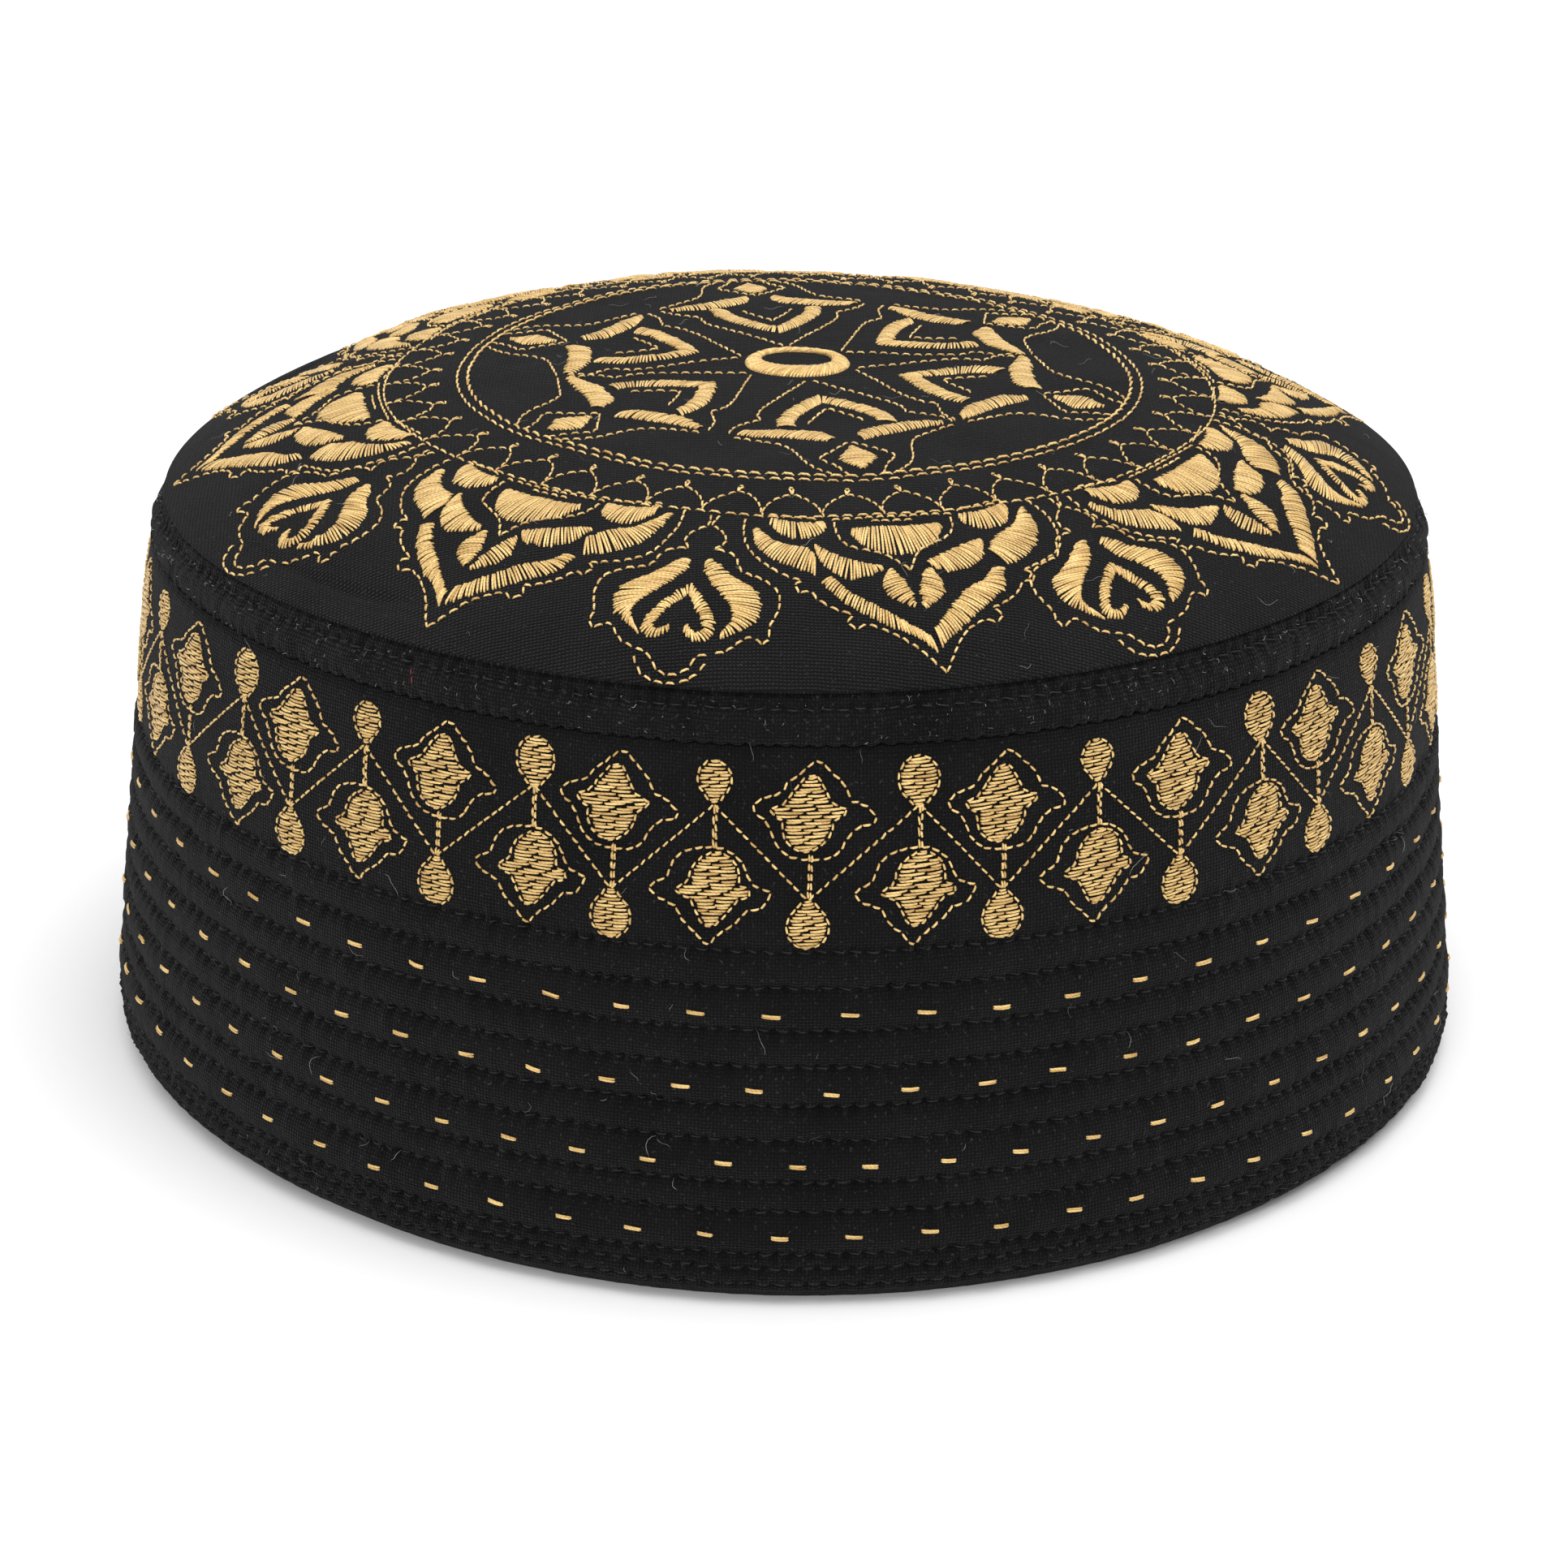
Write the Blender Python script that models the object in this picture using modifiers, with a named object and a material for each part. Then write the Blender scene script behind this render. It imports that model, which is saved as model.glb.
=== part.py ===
"""Embroidered prayer cap: a domed crown, a stitched top band and a quilted side wall.

Units are metres, +Z is up, and the front of the cap faces -Y. The origin is the middle of the rim,
on the surface that the cap stands on. Every piece is hollow cloth, and the cap is open underneath.
"""
import math

import bmesh
import bpy

# Overall sizes, measured outside
HEM_WIDTH = 0.1980
HEM_DEPTH = 0.1846
SEAM_HEIGHT = 0.0838
BAND_HEIGHT = 0.0070
DOME_RISE = 0.0145

# Cloth thicknesses, and the gap left at each seam
WALL_CLOTH = 0.0022
BAND_CLOTH = 0.0022
CROWN_CLOTH = 0.0016
SEAM_GAP = 0.0003

# Plan outline: the turn of its long axis, a slight fullness at the four quarters, and steps round
OVAL_TURN = math.radians(-9.6)
QUARTER_FULLNESS = 0.0068
ROUND_STEPS = 64

# Side wall: a flat lip under the rim, relief between stitch rows, and points along each rib
LIP_HEIGHT = 0.0012
RIB_RISE = 0.0005
RIB_POINTS = 2

# Top band: how proud it stands of the wall, how far it swells between its edges, how much more of the
# swell lies low, and how late it leans in
BAND_PROUD = 0.0003
BAND_SWELL = 0.0002
BAND_LOW_SWELL = 0.8
BAND_LEAN = 1.3
BAND_POINTS = 5

# Crown: seam radius as a share of the hem's, dome shape, rings, and the roll into the seam
SEAM_SHARE = 0.908
DOME_POWER = 3.8
DOME_RINGS = 11
EDGE_CROWDING = 1.7

# Side wall sections: height as a share of the wall's, radius as a share of the hem's
WALL_SECTIONS = (
    {"height": 0.000, "radius": 1.0000},
    {"height": 0.056, "radius": 1.0040},
    {"height": 0.116, "radius": 1.0000},
    {"height": 0.247, "radius": 0.9870},
    {"height": 0.371, "radius": 0.9755},
    {"height": 0.535, "radius": 0.9625},
    {"height": 0.728, "radius": 0.9500},
    {"height": 0.890, "radius": 0.9395},
    {"height": 1.000, "radius": 0.9260},
)

# Stitch rows that draw the quilting in, as shares of the wall's height
STITCH_ROWS = (0.039, 0.070, 0.097, 0.175, 0.229, 0.305, 0.368, 0.439, 0.504, 0.580, 0.644)

# Slack folds in the crown beside the seam. Places are degrees round from the front, towards +X.
# Radius and width are shares of the seam's radius, depth is a share of the dome's rise. The seam holds
# the cloth, so folds fade out over the last share of the radius.
CROWN_FOLDS = (
    {"start": -66, "end": -28, "radius": 0.950, "width": 0.022, "depth": 0.055},
    {"start": -134, "end": -96, "radius": 0.900, "width": 0.110, "depth": 0.090},
)
SEAM_HOLD = 0.05

# Dents of the standing cap, deepest at the seam. Depth is a share of the radius.
SHOULDER_DENTS = (
    {"place": -107, "width": 24, "depth": 0.034},
    {"place": 112, "width": 24, "depth": 0.010},
)
DENT_FADE = 3

HEM_RADIUS = (HEM_WIDTH + HEM_DEPTH) / 4
OVALITY = (HEM_WIDTH - HEM_DEPTH) / (HEM_WIDTH + HEM_DEPTH)
WALL_HEIGHT = SEAM_HEIGHT - BAND_HEIGHT
SEAM_RADIUS = HEM_RADIUS * SEAM_SHARE
BLACK_COTTON = (0.018, 0.018, 0.021, 1.0)
CROWN_COTTON = (0.024, 0.024, 0.027, 1.0)


def clear_scene():
    """Remove everything that the opened file holds."""
    for found in list(bpy.data.objects):
        bpy.data.objects.remove(found, do_unlink=True)


def wall_radius(share):
    """Outer radius of the plain wall at a share of its height, before the oval."""
    below = WALL_SECTIONS[0]
    for above in WALL_SECTIONS[1:]:
        if share <= above["height"]:
            along = (share - below["height"]) / (above["height"] - below["height"])
            return HEM_RADIUS * (below["radius"] + along * (above["radius"] - below["radius"]))
        below = above
    return HEM_RADIUS * below["radius"]


def wall_outline():
    """Section of the side wall: ribbed outside, plain inside, flat at the lip and at the top."""
    lip = LIP_HEIGHT / WALL_HEIGHT
    outer = [(wall_radius(0.0), 0.0), (wall_radius(0.0), LIP_HEIGHT)]
    edges = (lip,) + STITCH_ROWS
    for low, high in zip(edges, edges[1:]):
        for step in range(1, RIB_POINTS + 1):
            along = step / (RIB_POINTS + 1)
            share = low + along * (high - low)
            outer.append((wall_radius(share) + RIB_RISE * math.sin(math.pi * along), share * WALL_HEIGHT))
        outer.append((wall_radius(high), high * WALL_HEIGHT))
    plain = [row["height"] for row in WALL_SECTIONS if row["height"] > STITCH_ROWS[-1]]
    outer += [(wall_radius(share), share * WALL_HEIGHT) for share in plain]
    inner = [(wall_radius(row["height"]) - WALL_CLOTH, row["height"] * WALL_HEIGHT) for row in WALL_SECTIONS]
    return outer[::-1] + inner


def mitre_drop():
    """How far the seam's mitre falls for each metre that it runs in under the crown."""
    share = 1 - CROWN_CLOTH / SEAM_RADIUS
    return (SEAM_HEIGHT - crown_underside(share)) / CROWN_CLOTH


def band_outline():
    """Section of the top band: it swells outside and leans in to the mitre under the crown's edge."""
    fall = mitre_drop()
    gap = SEAM_GAP * math.hypot(1.0, fall)
    low = (wall_radius(1.0) + BAND_PROUD, WALL_HEIGHT + SEAM_GAP)
    high = (SEAM_RADIUS, SEAM_HEIGHT - gap)
    outer = []
    for step in range(BAND_POINTS + 1):
        along = step / BAND_POINTS
        swell = BAND_SWELL * math.sin(math.pi * along) * (1 + BAND_LOW_SWELL * (0.5 - along))
        radius = low[0] + along ** BAND_LEAN * (high[0] - low[0]) + swell
        outer.append((radius, low[1] + along * (high[1] - low[1])))
    top = high[1] - BAND_CLOTH * fall
    inner = [(radius - BAND_CLOTH, height) for radius, height in outer if height < top - SEAM_GAP]
    return outer[::-1] + inner + [(SEAM_RADIUS - BAND_CLOTH, top)]


def dome_height(share):
    """Outer height of the crown at a share of the seam's radius."""
    return SEAM_HEIGHT + DOME_RISE * (1 - share ** DOME_POWER)


def dome_slope(share):
    """How steeply the crown falls, as rise over run."""
    return DOME_RISE * DOME_POWER * share ** (DOME_POWER - 1) / SEAM_RADIUS


def crown_underside(share):
    """Inner height of the crown at a share of the seam's radius."""
    return dome_height(share) - CROWN_CLOTH / math.cos(math.atan(dome_slope(share)))


def crown_outline():
    """Section of the crown from its top to the seam and back under the cloth."""
    shares = [1 - (1 - step / DOME_RINGS) ** EDGE_CROWDING for step in range(DOME_RINGS + 1)]
    outer = [(share * SEAM_RADIUS, dome_height(share)) for share in shares]
    reach = 1 - CROWN_CLOTH / SEAM_RADIUS
    inner = [(share * reach * SEAM_RADIUS, crown_underside(share * reach)) for share in shares]
    return outer + inner[::-1]


def turned(name, outline, closed):
    """Turn a section about Z with Screw and return it as a mesh object."""
    profile = bpy.data.meshes.new(name + "_profile")
    points = [(radius, 0.0, height) for radius, height in outline]
    edges = [(index, index + 1) for index in range(len(points) - 1)]
    if closed:
        edges.append((len(points) - 1, 0))
    profile.from_pydata(points, edges, [])
    guide = bpy.data.objects.new(name + "_guide", profile)
    bpy.context.scene.collection.objects.link(guide)
    screw = guide.modifiers.new("turn", "SCREW")
    screw.axis = "Z"
    screw.steps = ROUND_STEPS
    screw.render_steps = ROUND_STEPS
    screw.use_merge_vertices = True
    screw.merge_threshold = 0.0001
    bpy.context.view_layer.update()
    seen = guide.evaluated_get(bpy.context.evaluated_depsgraph_get())
    mesh = bpy.data.meshes.new_from_object(seen)
    mesh.name = name
    bpy.data.objects.remove(guide, do_unlink=True)
    bpy.data.meshes.remove(profile)
    return bpy.data.objects.new(name, mesh)


def fold_depth(degrees, share):
    """How far the crown's cloth drops at a place round the cap and a share of the seam's radius."""
    drop = 0.0
    for fold in CROWN_FOLDS:
        along = (degrees - fold["start"]) / (fold["end"] - fold["start"])
        if 0 < along < 1:
            across = (share - fold["radius"]) / fold["width"]
            drop += DOME_RISE * fold["depth"] * math.sin(math.pi * along) ** 2 * math.exp(-across ** 2)
    return drop * min(1.0, (1.0 - share) / SEAM_HOLD) ** 2


def dent(degrees, height):
    """Share of the radius that the wall and crown give way at a place and a height."""
    rise = min(1.0, height / SEAM_HEIGHT) ** DENT_FADE
    return sum(row["depth"] * rise * math.exp(-((degrees - row["place"]) / row["width"]) ** 2)
               for row in SHOULDER_DENTS)


def shape_cloth(piece, folded):
    """Give a turned piece the cap's oval plan, and the crown its slack folds."""
    for corner in piece.data.vertices:
        x, y, z = corner.co
        radius = math.hypot(x, y)
        place = math.atan2(x, -y)
        oval = OVALITY * math.cos(2 * (place - math.pi / 2 - OVAL_TURN))
        full = 1 + oval + QUARTER_FULLNESS * math.cos(4 * place) - dent(math.degrees(place), z)
        drop = fold_depth(math.degrees(place), radius / SEAM_RADIUS) if folded else 0.0
        corner.co = (x * full, y * full, z - drop)


def finish_piece(piece, colour, roughness, collection):
    """Tidy a piece's mesh, shade it and give it its cloth."""
    mesh = bmesh.new()
    mesh.from_mesh(piece.data)
    bmesh.ops.remove_doubles(mesh, verts=mesh.verts, dist=0.00001)
    bmesh.ops.recalc_face_normals(mesh, faces=mesh.faces)
    mesh.to_mesh(piece.data)
    mesh.free()
    piece.data.shade_smooth()
    piece.data.set_sharp_from_angle(angle=math.radians(50))
    cloth = bpy.data.materials.new(piece.name + "_cloth")
    cloth.use_nodes = True
    shader = cloth.node_tree.nodes["Principled BSDF"]
    shader.inputs["Base Color"].default_value = colour
    shader.inputs["Roughness"].default_value = roughness
    shader.inputs["Metallic"].default_value = 0.0
    piece.data.materials.clear()
    piece.data.materials.append(cloth)
    collection.objects.link(piece)


def build():
    """Make the three cloth pieces, from the rim up."""
    clear_scene()
    cap = bpy.data.collections.new("prayer_cap")
    bpy.context.scene.collection.children.link(cap)

    side_wall = turned("side_wall", wall_outline(), closed=True)
    shape_cloth(side_wall, folded=False)
    finish_piece(side_wall, BLACK_COTTON, 0.92, cap)

    top_band = turned("top_band", band_outline(), closed=True)
    shape_cloth(top_band, folded=False)
    finish_piece(top_band, BLACK_COTTON, 0.94, cap)

    crown = turned("crown", crown_outline(), closed=False)
    shape_cloth(crown, folded=True)
    finish_piece(crown, CROWN_COTTON, 0.90, cap)


build()
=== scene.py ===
"""Looks of the embroidered prayer cap: quilted cloth, gold embroidery, lint, light and camera.

Lengths are metres, and pattern drawings are millimetres. +Z is up, and the front of the cap faces -Y.
A place round the cap is an angle from the front, positive towards +X.
"""
import math

import bpy
import numpy as np
from mathutils import Matrix, Vector


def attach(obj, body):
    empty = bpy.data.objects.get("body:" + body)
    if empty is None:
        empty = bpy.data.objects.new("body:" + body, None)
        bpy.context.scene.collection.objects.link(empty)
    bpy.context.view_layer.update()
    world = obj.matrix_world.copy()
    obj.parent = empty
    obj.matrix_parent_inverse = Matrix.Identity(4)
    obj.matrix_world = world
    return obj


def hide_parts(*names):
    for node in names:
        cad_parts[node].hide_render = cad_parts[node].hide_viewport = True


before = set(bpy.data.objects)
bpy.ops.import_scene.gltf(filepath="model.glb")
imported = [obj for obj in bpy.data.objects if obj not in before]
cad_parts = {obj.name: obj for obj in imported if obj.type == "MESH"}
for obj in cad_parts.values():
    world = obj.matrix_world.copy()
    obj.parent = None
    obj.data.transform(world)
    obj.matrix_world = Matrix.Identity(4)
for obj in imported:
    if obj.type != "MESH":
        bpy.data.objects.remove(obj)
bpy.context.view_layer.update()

MM = 0.001

# Cap sizes, the same as in the CAD
HEM_WIDTH = 0.1980
HEM_DEPTH = 0.1846
SEAM_HEIGHT = 0.0838
BAND_HEIGHT = 0.0070
DOME_RISE = 0.0145
WALL_CLOTH = 0.0022
BAND_CLOTH = 0.0022
CROWN_CLOTH = 0.0016
SEAM_GAP = 0.0003
OVAL_TURN = math.radians(-9.6)
QUARTER_FULLNESS = 0.0068
SEAM_SHARE = 0.908
DOME_POWER = 3.8
BAND_PROUD = 0.0003
BAND_SWELL = 0.0002
BAND_LOW_SWELL = 0.8
BAND_LEAN = 1.3
WALL_SHARES = np.array([0.000, 0.056, 0.116, 0.247, 0.371, 0.535, 0.728, 0.890, 1.000])
WALL_RADII = np.array([1.0000, 1.0040, 1.0000, 0.9870, 0.9755, 0.9625, 0.9500, 0.9395, 0.9260])
STITCH_ROWS = np.array([0.039, 0.070, 0.097, 0.175, 0.229, 0.305, 0.368, 0.439, 0.504, 0.580, 0.644])
CROWN_FOLDS = (
    {"start": -66, "end": -28, "radius": 0.950, "width": 0.022, "depth": 0.055},
    {"start": -134, "end": -96, "radius": 0.900, "width": 0.110, "depth": 0.090},
)
SEAM_HOLD = 0.05
SHOULDER_DENTS = (
    {"place": -107, "width": 24, "depth": 0.034},
    {"place": 112, "width": 24, "depth": 0.010},
)
DENT_FADE = 3

HEM_RADIUS = (HEM_WIDTH + HEM_DEPTH) / 4
OVALITY = (HEM_WIDTH - HEM_DEPTH) / (HEM_WIDTH + HEM_DEPTH)
WALL_HEIGHT = SEAM_HEIGHT - BAND_HEIGHT
SEAM_RADIUS = HEM_RADIUS * SEAM_SHARE
ROW_HEIGHTS = STITCH_ROWS * WALL_HEIGHT
LIP_HEIGHT = 0.0012

# Cloth relief
RIB_RISE = 0.0007
BLACK_PITCH = 0.0023
HOLE_DEPTH = 0.00075
PUCKER_DEPTH = 0.00034
ROW_COUNT = int(round(2 * math.pi * HEM_RADIUS * 0.96 / BLACK_PITCH))

# How far the hem rolls in under itself, and up to what height
HEM_TUCK = 0.0021
HEM_ROUND = 0.0040

# Thread sizes
GOLD_WIDTH = 0.00040
RUN_WIDTH = 0.00037
BLACK_WIDTH = 0.00028

# Where the crown's pattern has its centre, where its motifs start to shorten, and how near the seam they end
PATTERN_X = 1.5
PATTERN_Y = 2.9
PATTERN_SHORTEN_FROM = 56.0
PATTERN_LIMIT = 86.2


# Reading and smoothing

def lattice(columns, rows, seed):
    """Random values from -1 to 1, the same ones each run."""
    return np.random.default_rng(seed).uniform(-1.0, 1.0, (columns, rows))


def smooth_noise(grid, across, up):
    """Values between a lattice's points. The lattice repeats both ways."""
    columns, rows = grid.shape
    low_across = np.floor(across).astype(int)
    low_up = np.floor(up).astype(int)
    part_across = across - low_across
    part_up = up - low_up
    part_across = part_across * part_across * (3 - 2 * part_across)
    part_up = part_up * part_up * (3 - 2 * part_up)
    near = grid[low_across % columns, low_up % rows] * (1 - part_up)
    near = near + grid[low_across % columns, (low_up + 1) % rows] * part_up
    far = grid[(low_across + 1) % columns, low_up % rows] * (1 - part_up)
    far = far + grid[(low_across + 1) % columns, (low_up + 1) % rows] * part_up
    return near * (1 - part_across) + far * part_across


def smooth_path(points, closed=False, steps=12):
    """A smooth line through points, as an array of close points."""
    points = np.asarray(points, float)
    if len(points) < 3:
        share = np.linspace(0, 1, steps)[:, None]
        return points[0] * (1 - share) + points[-1] * share
    if closed:
        before, after = points[-1:], points[:2]
        padded = np.concatenate([before, points, after])
    else:
        before = 2 * points[:1] - points[1:2]
        after = 2 * points[-1:] - points[-2:-1]
        padded = np.concatenate([before, points, after])
    line = []
    for index in range(1, len(padded) - 2):
        a, b, c, d = padded[index - 1:index + 3]
        share = (np.arange(steps) / steps)[:, None]
        line.append(0.5 * (2 * b + (c - a) * share + (2 * a - 5 * b + 4 * c - d) * share ** 2
                           + (3 * b - a - 3 * c + d) * share ** 3))
    line.append(padded[-2:-1])
    return np.concatenate(line)


def along_path(line, distances):
    """Points at distances along a line of close points."""
    step = np.linalg.norm(np.diff(line, axis=0), axis=1)
    reach = np.concatenate([[0], np.cumsum(step)])
    return np.stack([np.interp(distances, reach, line[:, 0]), np.interp(distances, reach, line[:, 1])], -1)


def path_length(line):
    """Length of a line of close points."""
    return float(np.linalg.norm(np.diff(line, axis=0), axis=1).sum())


# The cap's surfaces

def plan_share(place, height):
    """The cap's outline in plan as a share of a circle, at places and heights."""
    full = 1 + OVALITY * np.cos(2 * (place - math.pi / 2 - OVAL_TURN)) + QUARTER_FULLNESS * np.cos(4 * place)
    rise = np.clip(height / SEAM_HEIGHT, 0, 1) ** DENT_FADE
    degrees = (np.degrees(place) + 180) % 360 - 180
    for row in SHOULDER_DENTS:
        full = full - row["depth"] * rise * np.exp(-((degrees - row["place"]) / row["width"]) ** 2)
    return full


def turn_out(place, radius, height):
    """Points at places, nominal radii and heights, on the cap's oval plan."""
    full = plan_share(place, height) * radius
    return np.stack([full * np.sin(place), -full * np.cos(place), height + 0 * place], -1)


STITCH_DRIFT = lattice(900, 16, 11)
PUCKERS = lattice(450, 31, 12)
FINE_PUCKERS = lattice(610, 53, 13)
SLACK = lattice(37, 7, 14)


def stitch_holes(place, index):
    """How near each place is to a needle hole of a stitch row, from 0 to 1."""
    turn = place / (2 * math.pi) * ROW_COUNT + 0.37 * index
    turn = turn + 0.22 * smooth_noise(STITCH_DRIFT, turn / 2, index + 0 * turn)
    part = (turn - np.floor(turn) - 0.5) * 2 * math.pi * HEM_RADIUS * 0.96 / ROW_COUNT
    return np.exp(-(part / 0.00056) ** 2)


def quilt_relief(place, height):
    """How far the quilted cloth stands out of the plain wall."""
    edges = np.concatenate([[LIP_HEIGHT], ROW_HEIGHTS])
    index = np.clip(np.searchsorted(edges, height) - 1, 0, len(edges) - 2)
    low, high = edges[index], edges[index + 1]
    along = np.clip((height - low) / (high - low), 0, 1)
    rib = np.minimum(RIB_RISE, 0.13 * (high - low)) * np.sin(math.pi * along) ** 0.75
    above = np.clip(height - ROW_HEIGHTS[-1], 0, None)
    rib = rib + 0.0004 * (1 - np.exp(-above / 0.0022)) * np.exp(-above / 0.012)
    nearest = np.argmin(np.abs(height[..., None] - ROW_HEIGHTS), axis=-1)
    apart = height - ROW_HEIGHTS[nearest]
    hole = HOLE_DEPTH * stitch_holes(place, nearest.astype(float)) * np.exp(-(apart / 0.0007) ** 2)
    around = place / (2 * math.pi)
    pull = np.exp(-(np.abs(apart) / 0.0019) ** 1.5)
    pucker = smooth_noise(PUCKERS, around * 450, height / 0.0045)
    fine = smooth_noise(FINE_PUCKERS, around * 610, height / 0.0012)
    slack = smooth_noise(SLACK, around * 37, height / 0.012)
    relief = rib - hole + PUCKER_DEPTH * pull * (0.75 * pucker + 0.45 * fine)
    return relief + 0.00004 * fine + 0.00012 * slack


def wall_point(place, height):
    """The plain wall's outer surface."""
    return turn_out(place, HEM_RADIUS * np.interp(height / WALL_HEIGHT, WALL_SHARES, WALL_RADII), height)


def quilted_point(place, height):
    """The wall's outer surface with its quilting."""
    radius = HEM_RADIUS * np.interp(height / WALL_HEIGHT, WALL_SHARES, WALL_RADII)
    tuck = HEM_TUCK * np.clip(1 - height / HEM_ROUND, 0, 1) ** 2
    join_hole = stitch_holes(place, 13.0 + 0 * place) * np.exp(-((height - WALL_HEIGHT + 0.0006) / 0.0007) ** 2)
    top = 0.00015 * np.clip((height - WALL_HEIGHT + 0.0010) / 0.0010, 0, 1) ** 2 + 0.0003 * join_hole
    return turn_out(place, radius + quilt_relief(place, height) - tuck - top, height)


def dome_height(share):
    """Outer height of the crown at a share of the seam's radius."""
    return SEAM_HEIGHT + DOME_RISE * (1 - share ** DOME_POWER)


def fold_depth(place, share):
    """How far the crown's slack cloth drops."""
    drop = 0 * share
    for fold in CROWN_FOLDS:
        along = (np.degrees(place) - fold["start"]) / (fold["end"] - fold["start"])
        across = (share - fold["radius"]) / fold["width"]
        depth = DOME_RISE * fold["depth"] * np.sin(math.pi * np.clip(along, 0, 1)) ** 2
        drop = drop + depth * np.exp(-across ** 2)
    return drop * np.clip((1.0 - share) / SEAM_HOLD, 0, 1) ** 2


CROWN_SLACK = lattice(23, 23, 21)
CROWN_PUCKERS = lattice(97, 97, 22)
CREASE_DRIFT = lattice(41, 11, 23)
# Fine creases beside the seam. Places in degrees, depth and pitch in metres
CREASES = (
    {"start": -75, "end": -22, "inner": 0.86, "depth": 0.00016, "pitch": 0.0019},
    {"start": 38, "end": 84, "inner": 0.92, "depth": 0.00007, "pitch": 0.0022},
    {"start": -140, "end": -92, "inner": 0.84, "depth": 0.00014, "pitch": 0.0026},
)


def crease_relief(place, radius):
    """Fine folds that run along the seam where the crown's cloth is slack."""
    degrees = np.degrees(place)
    relief = 0 * radius
    for row in CREASES:
        along = np.clip((degrees - row["start"]) / (row["end"] - row["start"]), 0, 1)
        inner = row["inner"] * SEAM_RADIUS
        depth = np.clip((radius - inner) / (SEAM_RADIUS * 0.985 - inner), 0, 1)
        strength = np.sin(math.pi * along) ** 1.5 * np.sin(math.pi * np.clip(depth, 0, 1) ** 0.8) ** 0.7
        drift = smooth_noise(CREASE_DRIFT, degrees / 9 + 20, radius / 0.006)
        fan = (radius - SEAM_RADIUS) * (1.25 - 0.5 * along) / row["pitch"] + 0.35 * drift
        relief = relief + row["depth"] * strength * np.cos(2 * math.pi * fan)
    return relief


def crown_point(x, y):
    """The crown's outer surface over nominal plan points, before the oval."""
    radius = np.hypot(x, y)
    place = np.arctan2(x, -y)
    share = np.clip(radius / SEAM_RADIUS, 0, 1)
    height = dome_height(share) - fold_depth(place, share)
    slack = smooth_noise(CROWN_SLACK, x / 0.011 + 40, y / 0.011 + 40)
    pucker = smooth_noise(CROWN_PUCKERS, x / 0.0031 + 80, y / 0.0031 + 80)
    hold = np.clip((1 - share) / 0.06, 0, 1)
    height = height + hold * (0.00022 * slack + 0.00007 * pucker) + crease_relief(place, radius)
    points = turn_out(place, radius, height)
    return points


BAND_ROW = 0.0815
BAND_FUZZ = lattice(500, 19, 31)


def mitre_drop():
    """How far the seam's mitre falls for each metre that it runs in under the crown."""
    share = 1 - CROWN_CLOTH / SEAM_RADIUS
    slope = DOME_RISE * DOME_POWER * share ** (DOME_POWER - 1) / SEAM_RADIUS
    under = dome_height(share) - CROWN_CLOTH / math.cos(math.atan(slope))
    return (SEAM_HEIGHT - under) / CROWN_CLOTH


def band_point(place, height):
    """The top band's outer surface, with its topstitching drawn in."""
    gap = SEAM_GAP * math.hypot(1.0, mitre_drop())
    low_radius = HEM_RADIUS * WALL_RADII[-1] + BAND_PROUD
    low_height = WALL_HEIGHT + SEAM_GAP
    high_height = SEAM_HEIGHT - gap
    along = np.clip((height - low_height) / (high_height - low_height), 0, 1)
    swell = BAND_SWELL * np.sin(math.pi * along) * (1 + BAND_LOW_SWELL * (0.5 - along))
    radius = low_radius + along ** BAND_LEAN * (SEAM_RADIUS - low_radius) + swell
    around = place / (2 * math.pi)
    apart = height - BAND_ROW
    hole = stitch_holes(place, 12.0 + 0 * place)
    groove = np.exp(-(apart / 0.0009) ** 2) * (0.00032 + 0.00065 * hole)
    low_hole = stitch_holes(place, 13.0 + 0 * place)
    high_hole = stitch_holes(place, 14.0 + 0 * place)
    edge = (0.0002 + 0.0008 * low_hole) * np.exp(-(height - low_height) / 0.0009)
    edge = edge + (0.0004 + 0.0006 * high_hole) * np.exp(-(high_height - height) / 0.0009)
    fuzz = smooth_noise(BAND_FUZZ, around * 500, height / 0.0013)
    pucker = smooth_noise(PUCKERS, around * 450, height / 0.004)
    return turn_out(place, radius - groove - edge + 0.00016 * fuzz + 0.00022 * pucker, height)


def facing(cloth, first, second, step):
    """Outward directions of a cloth at its own pairs of coordinates."""
    one = cloth(first + step[0], second) - cloth(first - step[0], second)
    two = cloth(first, second + step[1]) - cloth(first, second - step[1])
    normal = np.cross(one, two)
    return normal / np.linalg.norm(normal, axis=-1, keepdims=True)


def wall_lay(pairs):
    """Points and outward directions on the quilted wall, from places and heights."""
    place, height = pairs[..., 0], pairs[..., 1]
    return quilted_point(place, height), facing(wall_point, place, height, (0.006, 0.0006))


def band_lay(pairs):
    """Points and outward directions on the band, from places and heights."""
    place, height = pairs[..., 0], pairs[..., 1]
    return band_point(place, height), facing(band_point, place, height, (0.006, 0.0004))


def crown_lay(pairs):
    """Points and outward directions on the crown, from nominal plan points."""
    return crown_point(pairs[..., 0], pairs[..., 1]), facing(crown_point, pairs[..., 0], pairs[..., 1], (0.0008, 0.0008))


# Meshes from arrays

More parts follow.
